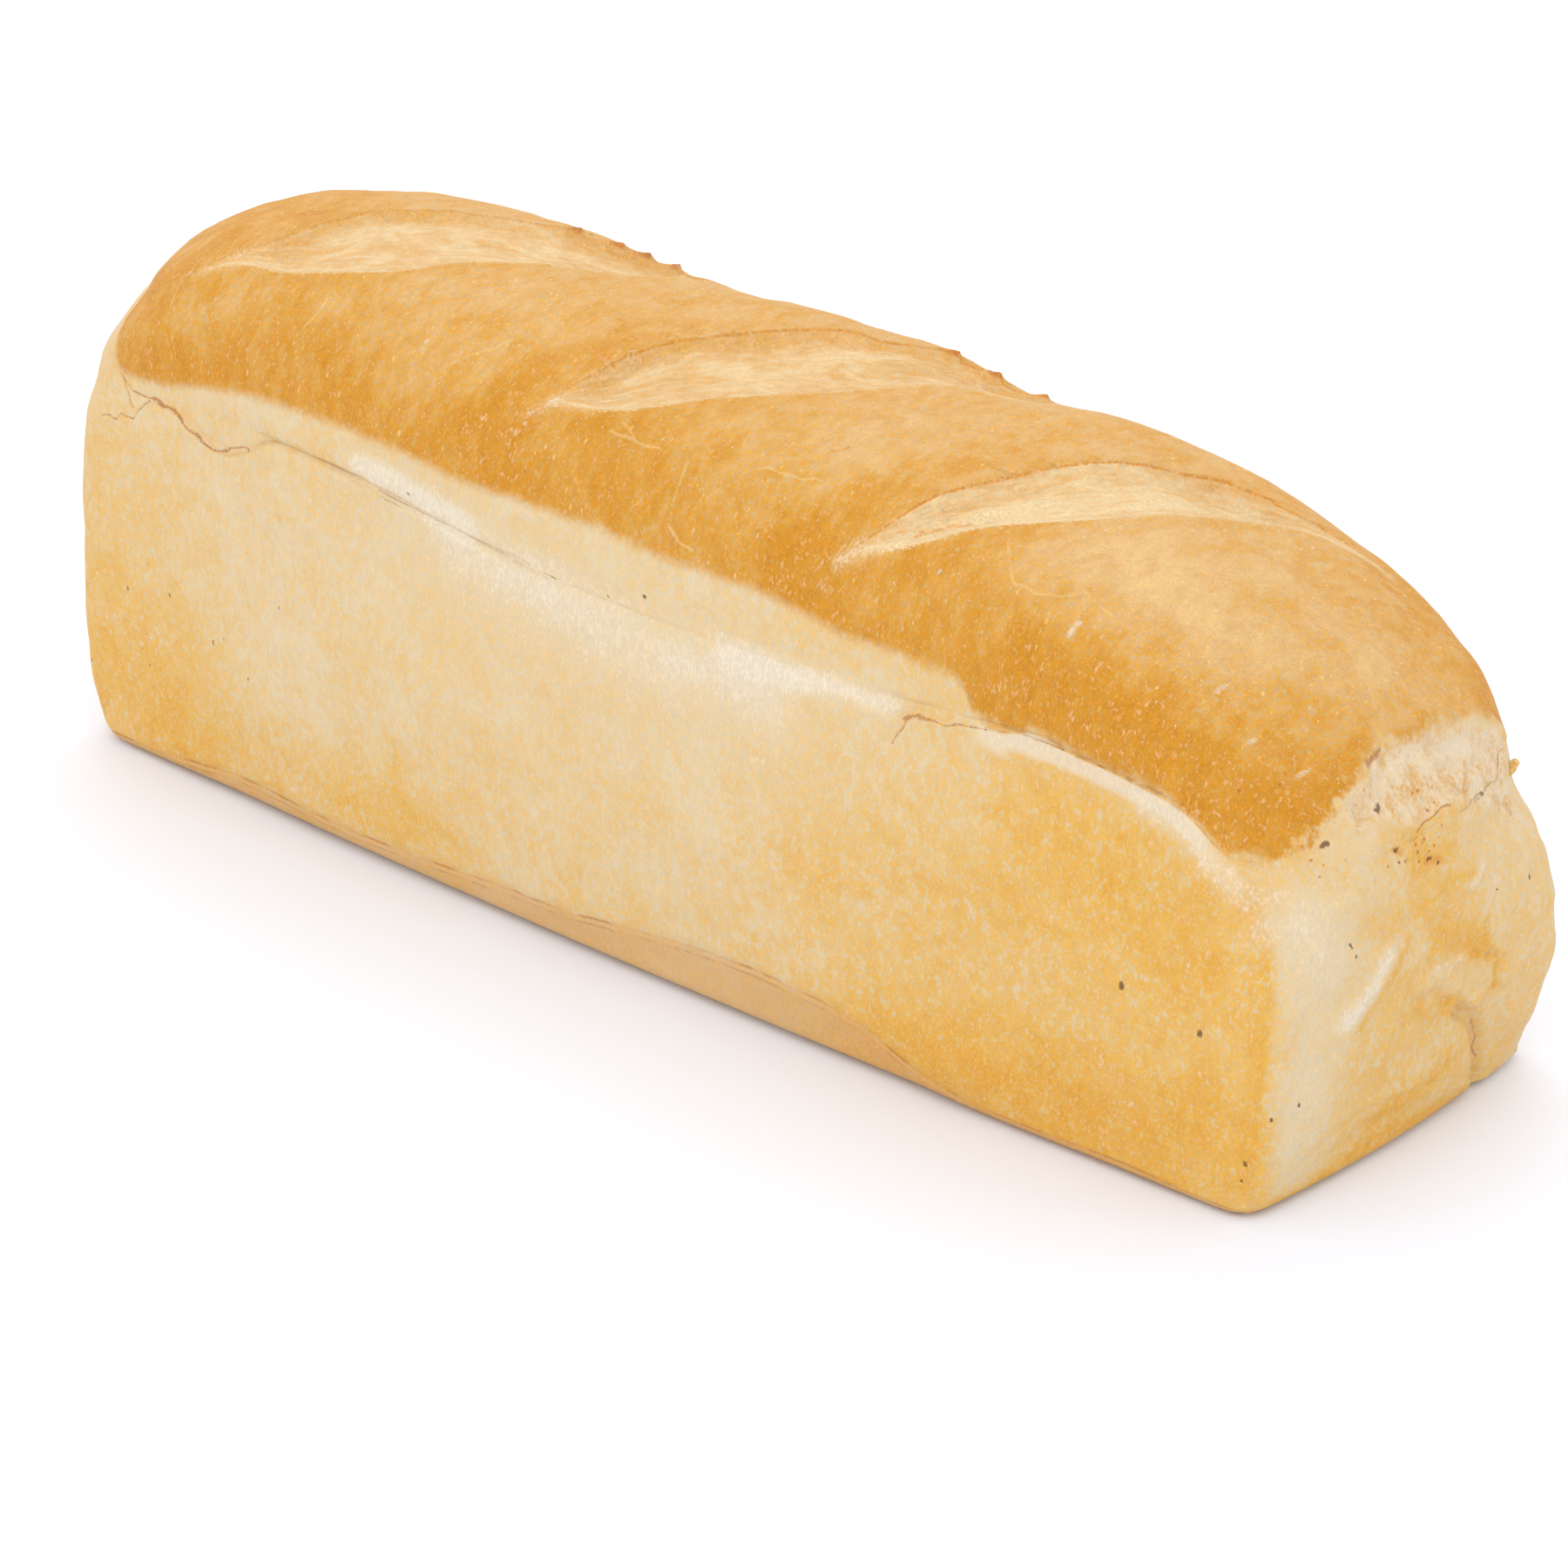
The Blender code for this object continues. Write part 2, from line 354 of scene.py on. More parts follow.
    def crown(self, rise: Array, side: Array, share: Array) -> Array:
        """Points on the crown.

        Args:
            rise: 0 at the seam and 1 along the crown's spine.
            side: Number of the side.
            share: Share of that side.

        Returns:
            The points, one row each.
        """
        cosine = np.maximum(np.cos(rise * math.pi / 2), 0.0)
        sine = np.sin(rise * math.pi / 2)
        left_slope, left_power = self.left_slope
        right_slope, right_power = self.right_slope
        left = self.left_length + self.left_taper - left_slope * (1 - cosine**left_power)
        right = self.right_length + self.right_taper - self.seam_step
        right = right - right_slope * (1 - cosine**right_power)
        half_width = np.maximum((self.rim_half_width - self.seam_step) * cosine**self.width_power, 0.02)
        rounded = np.minimum(1.0, rise / self.rounding)
        corner = self.rim_corner + (self.crown_corner - self.rim_corner) * rounded
        x, y = self.side_point(left, right, half_width, corner, side, share)
        fall = np.where(x < 0, *self.falls) * self.end_share(x) ** 2
        x_out, y_out = self.swell(x, y, half_width, self.side_swell * cosine, self.end_swell * cosine)
        height = self.seam_height(x) + self.crown_height * sine**self.height_power * (1 - fall)
        return np.stack([x_out, y_out, height], axis=1)

    def base(self, shrink: Array, side: Array, share: Array) -> Array:
        """Points on the flat base.

        Args:
            shrink: 0 at the base's edge and 1 along its middle line.
            side: Number of the side.
            share: Share of that side.

        Returns:
            The points, one row each.
        """
        none = np.zeros(len(shrink))
        edge = self.wall(none, none + self.base_edge, side, share)
        left = self.left_length - self.left_cut - self.base_edge
        right = self.right_length - self.base_edge
        reach = self.base_half_width - self.base_edge
        spine = np.clip(edge[:, 0], reach - left, right - reach)
        x = edge[:, 0] + (spine - edge[:, 0]) * shrink
        return np.stack([x, edge[:, 1] * (1 - shrink), none], axis=1)

    def ring(self, block: Array) -> tuple[Array, Array, Array]:
        """Ring, side and share of places on the gridded block.

        Args:
            block: Places on the block, from 0 to 1 along each axis.

        Returns:
            The number of the ring counted from the edge, the side's number and the share of it.
        """
        width = 2.0 * self.rings
        length = self.length_cells
        i, j = block[:, 0] * length, block[:, 1] * width
        gaps = np.stack([j, length - i, width - j, i])
        side = np.argmin(gaps, axis=0)
        inner = gaps.min(axis=0)
        walks = np.stack([i - inner, j - inner, length - inner - i, width - inner - j])
        spans = np.stack([length - 2 * inner, width - 2 * inner, length - 2 * inner, width - 2 * inner])
        each = np.arange(len(side))
        share = walks[side, each] / np.maximum(spans[side, each], NONE)
        return inner, side, np.clip(share, 0.0, 1.0)

    @property
    def length_cells(self) -> int:
        """Cells along the block, which keep the cells about square."""
        return round(self.rings * 64 / 9)

    def wall_rise(self, level: Array, side: Array, share: Array, crease: RimLine, centre: Array) -> Array:
        """Share of the seam's height for rows of the wall, so that one row follows the crease.

        Args:
            level: Rows above the base's edge.
            side: Number of the side.
            share: Share of that side.
            crease: The line that the row follows.
            centre: What the loaf is moved by to stand in the middle.

        Returns:
            Shares of the seam's height.
        """
        near_top = self.wall(np.full(len(level), 0.95), np.zeros(len(level)), side, share)
        seam = near_top[:, 2] / 0.95
        fold = np.minimum(crease.height(near_top - centre, side) / seam, 0.99)
        start = self.base_edge / self.seam_base
        lower = start + (fold - start) * level / self.rows.wall
        upper = fold + (1 - fold) * (level - self.rows.wall) / self.rows.band
        return np.where(level <= self.rows.wall, lower, upper)

    def place(self, block: Array, crease: RimLine, centre: Array) -> tuple[Array, Array]:
        """Carry places on the gridded block to the loaf.

        Args:
            block: Places on the block, from 0 to 1 along each axis.
            crease: The line round the loaf above which its skin stands in.
            centre: What the loaf is moved by to stand in the middle.

        Returns:
            The places on the loaf, and the number of the side that each is on.
        """
        inner, side, share = self.ring(block)
        level = block[:, 2] * self.rows.total
        places = np.zeros((len(block), 3))
        wall_top = self.rows.edge + self.rows.wall + self.rows.band

        under = level < NONE
        places[under] = self.base(inner[under] / self.rings, side[under], share[under])

        edge = ~under & (level <= self.rows.edge)
        angle = math.pi / 2 * level[edge] / self.rows.edge
        rise = self.base_edge * (1 - np.cos(angle)) / self.seam_base
        inset = self.base_edge * (1 - np.sin(angle))
        places[edge] = self.wall(rise, inset, side[edge], share[edge])

        wall = (level > self.rows.edge) & (level <= wall_top)
        up = self.wall_rise(level[wall] - self.rows.edge, side[wall], share[wall], crease, centre)
        flat = self.wall(up, np.zeros(wall.sum()), side[wall], share[wall])
        above = flat[:, 2] - crease.height(flat - centre, side[wall])
        hold = np.minimum(CREASE_HOLD.height(flat - centre, side[wall]), 1.0)
        stepping = hold * ease(above, *self.sharp_step) + (1 - hold) * ease(above, *self.soft_step)
        inset = self.seam_step * np.maximum(stepping, ease(flat[:, 0], 160, 185) * ease(up, 0.9, 1.0))
        stepped = self.wall(up, inset, side[wall], share[wall])
        stepped[:, 0] = np.where(flat[:, 0] < 0, flat[:, 0], stepped[:, 0])
        places[wall] = stepped

        crown = level > wall_top
        rise = (level[crown] - wall_top + inner[crown]) / (self.rows.flank + self.rings)
        places[crown] = self.crown(rise, side[crown], share[crown])
        return places - centre, side


# ---------------------------------------------------------------- features of the crust


@dataclass(frozen=True)
class Slash:
    """A baker's cut across the crown: its two edges seen from above, in millimetres.

    The crust that stood up behind the far edge has a few higher tips, given by their place along
    the loaf.
    """

    far: Knots
    near: Knots
    tips: tuple[float, ...] = ()
    rise: float = 1.0
    tone: float = 0.0
    edge: float = 0.8

    def lie(self, points: Array) -> tuple[Array, Array, Array, Array]:
        """How places lie to the cut.

        Args:
            points: Places on the crown, one row each.

        Returns:
            The distance along the cut, the distance in from its far edge, the distance in from
            its near edge, and the distance in from its whole outline; the last three are
            negative outside.
        """
        start = np.array(self.far[0])
        chord = np.array(self.far[-1]) - start
        length = np.hypot(*chord)
        turn = np.array([chord, (-chord[1], chord[0])]) / length
        along, across = turn @ (points[:, :2] - start).T
        far_along, far_across = turn @ (np.array(self.far) - start).T
        near_along, near_across = turn @ (np.array(self.near) - start).T
        far = follow(list(zip(far_along, far_across)), along) - across
        near = across - follow(list(zip(near_along, near_across)), along)
        beyond = np.minimum(along, length - along)
        inside = np.minimum(np.minimum(far, near), beyond)
        return along, far, near, inside


class Face(Enum):
    """The way from which a mark is seen: how much each axis counts in the distance to it."""

    FRONT = (1.0, 0.05, 1.0)
    END = (0.05, 1.0, 1.0)
    TOP = (1.0, 1.0, 0.05)
    ANY = (1.0, 1.0, 1.0)


@dataclass(frozen=True)
class Mark:
    """A narrow line or a dot on the crust: a route with half its width, in millimetres."""

    width: float
    route: Route
    face: Face = Face.FRONT

    def gap(self, points: Array) -> Array:
        """Distance of places from the line, in millimetres; marks don't show through to other sides."""
        weights = np.array(self.face.value)
        distance = off_route(points * weights, np.array(self.route) * weights)
        x, y, z = points.T
        shown = {Face.FRONT: y < -15, Face.END: x > 160, Face.TOP: z > 100, Face.ANY: z > 0}[self.face]
        return np.where(shown, distance, OUT_OF_SIGHT)


@dataclass(frozen=True)
class Fold:
    """A ridge or a groove in the crust along a route, in millimetres; a groove's height is negative."""

    height: float
    reach: float
    route: Route

    def relief(self, points: Array) -> Array:
        """How far the fold lifts the skin at each place."""
        return self.height * hump(off_route(points, self.route), 0.0, self.reach)


@dataclass(frozen=True)
class Patch:
    """A soft patch along a route, strongest in its middle."""

    strength: float
    reach: float
    route: Route
    flatten: float = 1.0

    def share(self, points: Array) -> Array:
        """How strong the patch is at each place; a flattened one reaches less far up and down."""
        stretched = points * np.array([1.0, 1.0, self.flatten])
        route = [(x, y, z * self.flatten) for x, y, z in self.route]
        return self.strength * hump(off_route(stretched, route), 0.0, self.reach)


def marks(face: Face, *rows: tuple) -> tuple[Mark, ...]:
    """Marks on one face, each given as its width and then its places."""
    return tuple(Mark(width, route, face) for width, *route in rows)


def folds(*rows: tuple) -> tuple[Fold, ...]:
    """Folds, each given as its height, its reach and then its places."""
    return tuple(Fold(height, reach, route) for height, reach, *route in rows)


def patches(*rows: tuple, flatten: float = 1.0) -> tuple[Patch, ...]:
    """Patches, each given as its strength, its reach and then its places."""
    return tuple(Patch(strength, reach, route, flatten) for strength, reach, *route in rows)


def covered(points: Array, cover: Sequence[Patch]) -> Array:
    """How strongly some patches together cover each place, from 0 to 1."""
    return np.clip(sum(patch.share(points) for patch in cover), 0, 1)


# Fine unevenness of the crust: of the whole skin, the creased right end, the torn fibres, and the
# strings along the slashes.
UNEVEN: Layers = ((0.35, Ripple(45, 3)), (0.12, Ripple(14, 4)), (0.05, Ripple(6.5, 5)))
CREASED: Layers = ((0.20, Ripple(7, 41, (1.0, 0.8, 1.6))), (0.10, Ripple(3.2, 42, (1.0, 0.8, 1.8), 48)))
FIBRES: Layers = ((0.16, Ripple(2.4, 21, (1.0, 0.6, 2.0), 48)), (0.36, Ripple(6, 22)))
BROAD_STRINGS: Layers = ((0.26, Ripple(4.0, 11, (6.0, 1.0, 1.0), 48)),)
THIN_STRINGS: Layers = ((0.12, Ripple(1.9, 12, (7.0, 1.0, 1.0), 48)),)

# Line along which the crust stands a little in above the tin's rim.
CREASE = RimLine(
    front=((-190, 93), (-176, 96), (-164, 99.8), (-158, 103.4), (-147, 102.4), (-140, 98.6), (-132, 97.4),
           (-121, 100.6), (-114, 104.2), (-100, 105), (-84, 104), (-52, 100.7), (-14, 96), (25, 94.6),
           (60, 95.1), (97, 95.3), (107, 97), (120, 98.6), (138, 99), (157, 97.2), (170, 93), (181, 85.2),
           (190, 83)),
    right=((-52, 84), (-42, 82), (-20, 81), (0, 79.5), (20, 80), (36, 76), (46, 79), (55, 82)),
    back=((-190, 98), (-150, 103), (-90, 104), (-20, 99), (60, 97), (120, 99), (160, 95), (190, 83)),
    left=((-52, 94), (-30, 91), (0, 90), (30, 92), (52, 98)),
)

# Lower edge of the crown's brown.
BROWN_EDGE = RimLine(
    front=((-184, 134), (-180, 128), (-177, 116), (-173, 109.5), (-167, 108), (-158, 108.5), (-143, 111),
           (-118, 114.5), (-97, 115.3), (-62, 114.2), (-43, 112.8), (0, 112.4), (31, 110.5), (48, 111),
           (83, 107.8), (99, 107.5), (109, 107), (114, 101), (131, 100.5), (145, 99), (158, 97.4),
           (170, 94.4), (181, 86), (190, 83.5)),
    right=((-50, 86), (-46, 83.5), (-42, 84), (-37, 87), (-31, 90), (-20, 96), (-13, 100), (0, 99.6),
           (17, 97.5), (35, 92), (44, 86), (55, 84)),
    back=((-190, 104), (-120, 114), (-40, 112), (60, 109), (110, 106), (150, 101), (175, 92), (190, 84)),
    left=((-52, 132), (-30, 131), (0, 127), (30, 118), (52, 108)),
)

# Height of the crease over the turned-in foot of the walls.
FOOT = RimLine(
    front=((-196, 3), (-176, 3.5), (-152, 5.3), (-130, 7.6), (-108, 7.4), (-94, 6.9), (-60, 8), (0, 12),
           (40, 15.6), (57, 16.2), (70, 15.1), (78, 14.2), (86, 12.2), (95, 8.8), (108, 5), (122, 3.7),
           (158, 3.6), (196, 2)),
    right=((-54, 2), (-35, 10.7), (-23, 15), (-6, 14.7), (14, 11), (30, 5), (54, 4)),
    back=((-196, 3), (-100, 7), (0, 9), (100, 6), (196, 2)),
    left=((-54, 3), (0, 6), (54, 3)),
)

# How strongly the crease under the crown shows: (place, share).
CREASE_HOLD = RimLine(
    front=((-196, 0.2), (-168, 0.4), (-150, 0.8), (-60, 0.8), (-30, 0.6), (-14, 0.3), (6, 0.08), (45, 0.08),
           (62, 0.2), (88, 0.35), (96, 0.7), (106, 0.5), (114, 0.1), (190, 0.1)),
    right=((-55, 0.05), (55, 0.05)),
    back=((-196, 0.5), (196, 0.5)),
    left=((-55, 0.2), (55, 0.2)),
)

# Lift of the crown along its back half: (place, millimetres).
CREST = ((-185, -0.6), (-160, -1.5), (-136, -1.5), (-110, -0.9), (-76, -1.4), (-58, -2.6), (-45, -0.7),
         (-29, 0.4), (-16, 2.3), (5, 2.5), (22, 3.2), (30, 2.5), (38, 0.9), (47, -0.4), (58, -1.8),
         (69, -0.2), (80, 1.1), (91, 0.5), (106, -1.9), (124, -3), (145, -2.7), (160, -2), (182, -1.1))

# Lift of the rounded edge between the front and the left end: (height, millimetres).
LEFT_SHOULDER = ((80, 0.1), (93, 0.5), (101, 0.4), (107, 0.1), (112, 0.2), (117, 0.5), (123, 0.8),
                 (129, 0.9), (135, 0.7), (141, 0.4), (147, 0))

# Lift of the rounded edge between the back and the right end: (height, millimetres).
RIGHT_SHOULDER = ((58, 0), (66, -1), (72, -2.8), (76, -2), (84, -0.8), (95, -1.3), (105, -1.8), (114, -1.7),
                  (122, -0.6), (130, 0))

# The loaf's back corner at the right end bulges low down.
LOW_LOBE = Fold(2.6, 9.0, ((198, 47, 17), (199, 48, 27)))

# Upper and lower edge of the torn hollow at the right end: (place across the loaf, height).
TORN_TOP = ((-27, 90), (-22, 94), (-15, 97), (-12, 98.6), (0, 99.3), (9, 99.2), (17, 97.3), (31, 93),
            (37, 89.6), (41, 84))
TORN_FOOT = ((-36, 83), (-28, 82.3), (-22, 86), (-13, 86.4), (-5, 82.5), (3, 82.9), (8, 82.8), (19, 78.1),
             (33, 71.7), (40, 66))

SLASHES = (
    Slash(
        far=((-153, -41), (-145, -32), (-138, -20), (-130, 0), (-117, 11), (-98, 20.5), (-90, 23.5),
             (-84, 25.5), (-77, 27.5), (-71, 30.5), (-66, 33.5), (-58, 34), (-46, 33), (-34, 31)),
        near=((-153, -41), (-141, -36.5), (-126, -35.5), (-112, -32), (-98, -26), (-87, -14), (-67, 5),
              (-50, 19), (-34, 31)),
        tips=(-83.5, -72.5, -66.5, -57.0),
        edge=0.2,
    ),
    Slash(
        far=((-29, -42), (-23.5, -31), (-19.5, -20), (-15, -9), (-9, 2), (2, 13.5), (9, 18.5), (14, 20.3),
             (21.5, 20.4), (26, 24), (31, 28), (35, 30.5), (50, 33), (72, 33)),
        near=((-29, -42), (-20, -40.5), (-10, -38), (-2, -34), (6, -27.5), (20, -17), (32, -6), (42, 7),
              (52, 20), (61, 28), (72, 33)),
        tips=(36.0, 48.0, 62.5),
        edge=0.7,
    ),
    Slash(
        far=((69, -49), (76, -42), (82, -32), (90, -18), (98, -1), (104, 10), (109, 17), (116, 23.8),
             (120, 27.8), (128, 31.3), (138, 35), (146, 40), (156, 45)),
        near=((69, -49), (80, -45.5), (92, -40), (104, -30), (117, -15), (127, 1), (133, 14), (140, 27),
              (148, 36), (156, 45)),
        tips=(120.0, 130.0, 141.0),
        rise=0.3,
        tone=-0.3,
        edge=0.95,
    ),
)

# Cracks in the crust; the brown drawn along them is partly painted shade in their crevices.
CRACKS = marks(
    Face.FRONT,
    (0.16, (-173, -51.7, 107.4), (-168.2, -52, 103.8), (-164, -52.1, 103.8), (-159, -52.4, 103.9),
     (-152.5, -53.7, 103.6)),
    (0.32, (-159, -52.6, 103.9), (-152.5, -53.7, 103.9), (-147.5, -53.9, 102.3), (-143.5, -54.5, 99.9)),
    (0.15, (-143.5, -54.5, 99.9), (-140.2, -54.7, 98), (-136.4, -54.5, 97.2), (-131.5, -52.6, 97.4),
     (-127.5, -52.7, 99.4), (-121.4, -52.9, 100.2)),
    (0.15, (-179.5, -52.4, 94.4), (-176.8, -51.7, 95.4), (-172.9, -52.7, 95.6), (-171.3, -51.9, 97),
     (-168.5, -52, 97), (-165.6, -53, 97.3), (-164.5, -52.3, 99.8), (-160.5, -52.1, 103.2)),
    (0.16, (91.6, -56.5, 87), (93.5, -56.4, 89.1), (95.4, -56.3, 92.5), (96, -54.6, 94.4),
     (98.1, -53.4, 95.3), (104.9, -53.7, 95.8), (111.4, -53.6, 96.9), (118.4, -53.7, 98.2)),
    (0.5, (95.4, -55, 93.9), (96.6, -54.2, 94.7)),
) + marks(
    Face.END,
    (0.24, (196.8, -4.5, 80.9), (197.4, -1, 82.2), (197.4, 4, 82.9), (197.4, 8.3, 83.2)),
    (0.6, (189.3, -13.5, 97.8), (189.1, -10.5, 98.5), (189, -8.3, 99.2)),
    (0.1, (196.8, -7, 79.6), (197.2, -1.5, 80.4), (197.4, 3.5, 81.2)),
    (0.15, (197, 24.1, 22.7), (196.2, 27.8, 16), (195.4, 30.3, 9)),
)

LINES = marks(
    Face.TOP,
    (0.35, (49.6, -30.6, 137.9), (51.2, -28.8, 138.4), (52.9, -26.8, 139)),
    (0.3, (-28.8, -24.6, 139.6), (-25, -25.5, 138.7), (-21, -26.8, 137.7)),
    (0.5, (83.5, -40.3, 128.8), (88.5, -34.8, 130.6), (94.1, -30.9, 132)),
) + marks(
    Face.ANY,
    (0.38, (169.9, -25.3, 113.8), (173.9, -23.6, 110.9), (177.1, -22.9, 108.8)),
    (0.34, (181.8, -26.8, 103.4), (183.7, -25.9, 101.9), (186.6, -23.2, 99.6)),
) + marks(
    Face.FRONT,
    (0.4, (-171.7, -51.8, 105.8), (-170.4, -52, 103.3), (-166.8, -52.3, 100)),
) + marks(
    Face.END,
    (0.8, (200, -2.6, 74), (200.3, 0.4, 72.8), (200.4, 2.8, 72)),
    (0.6, (198.2, -13.6, 79.8), (199, -10.8, 78.2)),
)

SPOTS = marks(
    Face.FRONT,
    (0.54, (178.4, -53.4, 43.4), (178.3, -53.4, 42.6)),
    (0.58, (157.6, -54.9, 48.5), (157.7, -54.9, 47.6)),
    (0.43, (190.7, -51.1, 14.8), (190.7, -51.1, 14)),
    (0.29, (190.2, -51.2, 10.1), (190.2, -51.2, 9.7)),
    (0.25, (194.5, -46.9, 25.4), (194.5, -46.9, 24.8)),
    (0.36, (-137.9, -56.2, 44), (-137.9, -56.2, 43)),
    (0.29, (-133.7, -56.3, 46), (-133.7, -56.3, 45.5)),
    (0.29, (-123.9, -57.3, 38.3), (-123.9, -57.3, 37.6)),
    (0.32, (-155.8, -54.8, 51.6), (-155.8, -54.8, 50.8)),
    (0.32, (-191.7, -52.6, 22), (-191.7, -52.6, 21.2)),
    (0.29, (-173.2, -54, 48.3), (-173.2, -54, 47.6)),
    (0.25, (-111.3, -56.9, 61.6), (-111.3, -56.9, 61.1)),
    (0.47, (15.4, -55.2, 100.9), (15.9, -55.2, 100.7)),
    (0.29, (4.2, -56.1, 97.6), (4.5, -56.1, 97.4)),
    (0.29, (-64, -56.5, 104.8), (-63.6, -56.5, 104.6)),
) + marks(
    Face.END,
    (0.79, (195, -15.6, 89.4), (194.8, -14.2, 89.8)),
    (0.5, (198.2, -12.9, 79.4), (198.2, -12.2, 79.4)),
    (0.36, (200, -12.3, 76.6), (200, -12, 76.4)),
    (0.5, (200.2, -1.8, 73.8), (200.2, -0.8, 73.6)),
    (0.36, (200.4, 1.6, 71.6), (200.4, 2, 71.6)),
    (0.25, (196.7, 10.6, 85.3), (196.7, 11, 85.3)),
    (0.5, (202.9, 36.4, 56.2), (202.9, 37, 55.4)),
    (0.25, (201.8, 25, 56.5), (201.8, 25.4, 56.5)),
    (0.32, (198.8, -28.2, 62.4), (199, -27.4, 61.2)),
    (0.29, (199, -26, 58.9), (199, -26, 58.4)),
    (0.36, (196.2, -40.4, 27), (196.2, -40.4, 26.4)),
    (0.58, (192.8, -33.2, 86.2), (192.9, -31.9, 86.4)),
)

WRINKLES = marks(
    Face.FRONT,
    (0.36, (17.5, -42.9, 130.2), (18.5, -48.2, 124.1), (20.1, -51.8, 118), (24.2, -52.7, 115.7),
     (28.3, -52.9, 114.5)),
) + marks(
    Face.TOP,
    (0.32, (-107.4, -38.8, 139.7), (-107.3, -42.9, 136.5), (-109, -45.8, 133.7), (-110.2, -47.5, 131.5)),
    (0.3, (-60.8, -42, 134.6), (-56.6, -38.7, 136.5), (-53.6, -35.8, 138), (-50.2, -31.7, 139.8)),
    (0.28, (-6.2, -39.7, 131.7), (-2.7, -41, 131.1), (1.3, -42.5, 130.2)),
    (0.26, (36.2, -39.2, 133.4), (47.9, -38.5, 133.4), (54.3, -37.3, 134.1)),
    (0.28, (-8, -42.6, 129.5), (0.4, -42.5, 130.1), (8.8, -42.5, 130.6)),
    (0.25, (101.5, -28, 133), (107, -35, 132.5), (111.7, -40.3, 131.5), (116.2, -44.1, 129),
     (121.8, -44.4, 128.4), (128.1, -41.3, 128.4), (130.7, -37.9, 129.1), (134.2, -38.3, 128.2),
     (139.6, -38.9, 126.2)),
)

BLISTERS = marks(
    Face.FRONT,
    (0.65, (134.3, -46.4, 122.6), (134.5, -45.4, 124.4)),
    (0.52, (175.9, -33.5, 106.4), (176.2, -33.2, 106.6)),
    (0.59, (165.3, -31.4, 114.6), (165.4, -31, 115)),
    (0.59, (185.5, -25.3, 99.7), (185.7, -24.9, 99.9)),
    (0.45, (96.5, -45.7, 126.4), (96.6, -45.5, 126.7)),
) + marks(
    Face.TOP,
    (0.52, (-72.2, -40.2, 136), (-72, -39.9, 136.2)),
)

END_FOLDS = folds(
    (0.9, 3.6, (198.6, -26, 44), (199.4, -20, 49), (200.3, -15, 54.5)),
    (-0.3, 3, (200.3, -5.5, 53), (199.8, -12, 44.6), (199, -19.5, 37.5)),
    (-2.6, 2.2, (200, 15, 28.6), (199.3, 22, 24), (198.4, 26, 17.5), (197, 28.6, 10), (196, 31, 3)),
    (1, 4.5, (199.5, 30.5, 30), (198.5, 36, 18)),
    (0.8, 1.8, (200.3, -3.4, 42.2), (200.6, 4.5, 42), (200.1, 12, 36.5), (200, 20, 29.5)),
    (-0.6, 1.2, (200.3, -3, 39.2), (200.4, 3.5, 39), (200.1, 10, 33.5)),
    (0.7, 1.6, (200.2, -2.5, 38), (199.6, 3.6, 32.5), (199.4, 15.4, 26.2)),
    (0.7, 1.8, (200.8, 9.5, 44.5), (201, 21.4, 40), (200.9, 24.5, 34), (200, 20.4, 29.3)),
    (-0.8, 1.4, (201.2, 17.5, 43), (201, 27.5, 38.5), (200.4, 27, 31)),
    (0.5, 1.2, (201, 15.5, 61.5), (201, 19.5, 64)),
    (-0.8, 1.2, (196.6, -7, 79.6), (197.4, -1, 82), (197.4, 4, 82.8), (197.4, 9, 83), (197.2, 16, 82.4)),
    (0.9, 2.2, (197.4, -6, 77.4), (198.4, 2, 79.4), (198.4, 10, 79.8)),
)

# Patches where the crown is darker (positive) and paler (negative); the pale ones high on the crown are
# partly baking and partly painted sheen.
TOAST_AND_SHEEN = patches(
    (-0.8, 22, (136, -24, 131), (176, -8, 112)),
    (-0.95, 13, (184, 2, 108), (186, 30, 102)),
    (-0.25, 16, (52, -30, 137), (60, -10, 142)),
    (0.12, 20, (150, -46, 112), (170, -40, 106)),
    (0.35, 5.5, (124, -51, 117), (129, -48, 121)),
    (-0.35, 9, (-160, -44, 124), (-128, -44, 132)),
    (0.25, 7, (-165, -50, 112), (-120, -51, 118)),
    (0.45, 14, (128, -50, 118), (146, -50, 112)),
    (0.35, 8, (92, -46, 126), (104, -44, 129)),
    (0.3, 8, (-12, -42, 131), (8, -42, 130)),
    (0.3, 12, (-46, -46, 128), (-38, -50, 120)),
    (0.25, 12, (178, -44, 98), (186, -36, 92)),
    (-0.3, 9, (-70, -42, 134), (-56, -44, 132)),
    (0.3, 10, (-120, -46, 130), (-100, -46, 130)),
)

# Where tiny burnt crumbs lie.
SPECKLE = patches(
    (1, 6, (197, -15, 79), (200, -2, 74), (200, 6, 72)),
    (0.8, 5, (194, -16, 89), (196, -8, 90), (197, 2, 86)),
    (0.6, 5, (192, -36, 84), (194, -30, 80)),
    (0.5, 10, (180, -40, 100), (186, -32, 98)),
    (0.5, 9, (-166, -54, 30), (-160, -55, 16)),
)

# Floury patches on the crown, at the slashes' ends.
HAZE = patches(
    (0.45, 2.6, (-35, -46, 126), (-31, -43, 130), (-26, -39, 132.5)),
    (0.4, 2, (-28, -40, 132), (-23, -30, 137), (-20, -22, 140)),
    (0.26, 2, (67.3, -51.9, 116), (69, -49, 121), (72, -46, 125.8)),
    (0.16, 2.5, (74, -44, 127), (80, -38, 130), (86, -31, 132)),
    (0.15, 3, (-158, -43, 134), (-150.9, -38, 138), (-144, -31, 141)),
)

MARKS = {"crack": CRACKS, "line": LINES, "spot": SPOTS, "wrinkle": WRINKLES, "blister": BLISTERS}

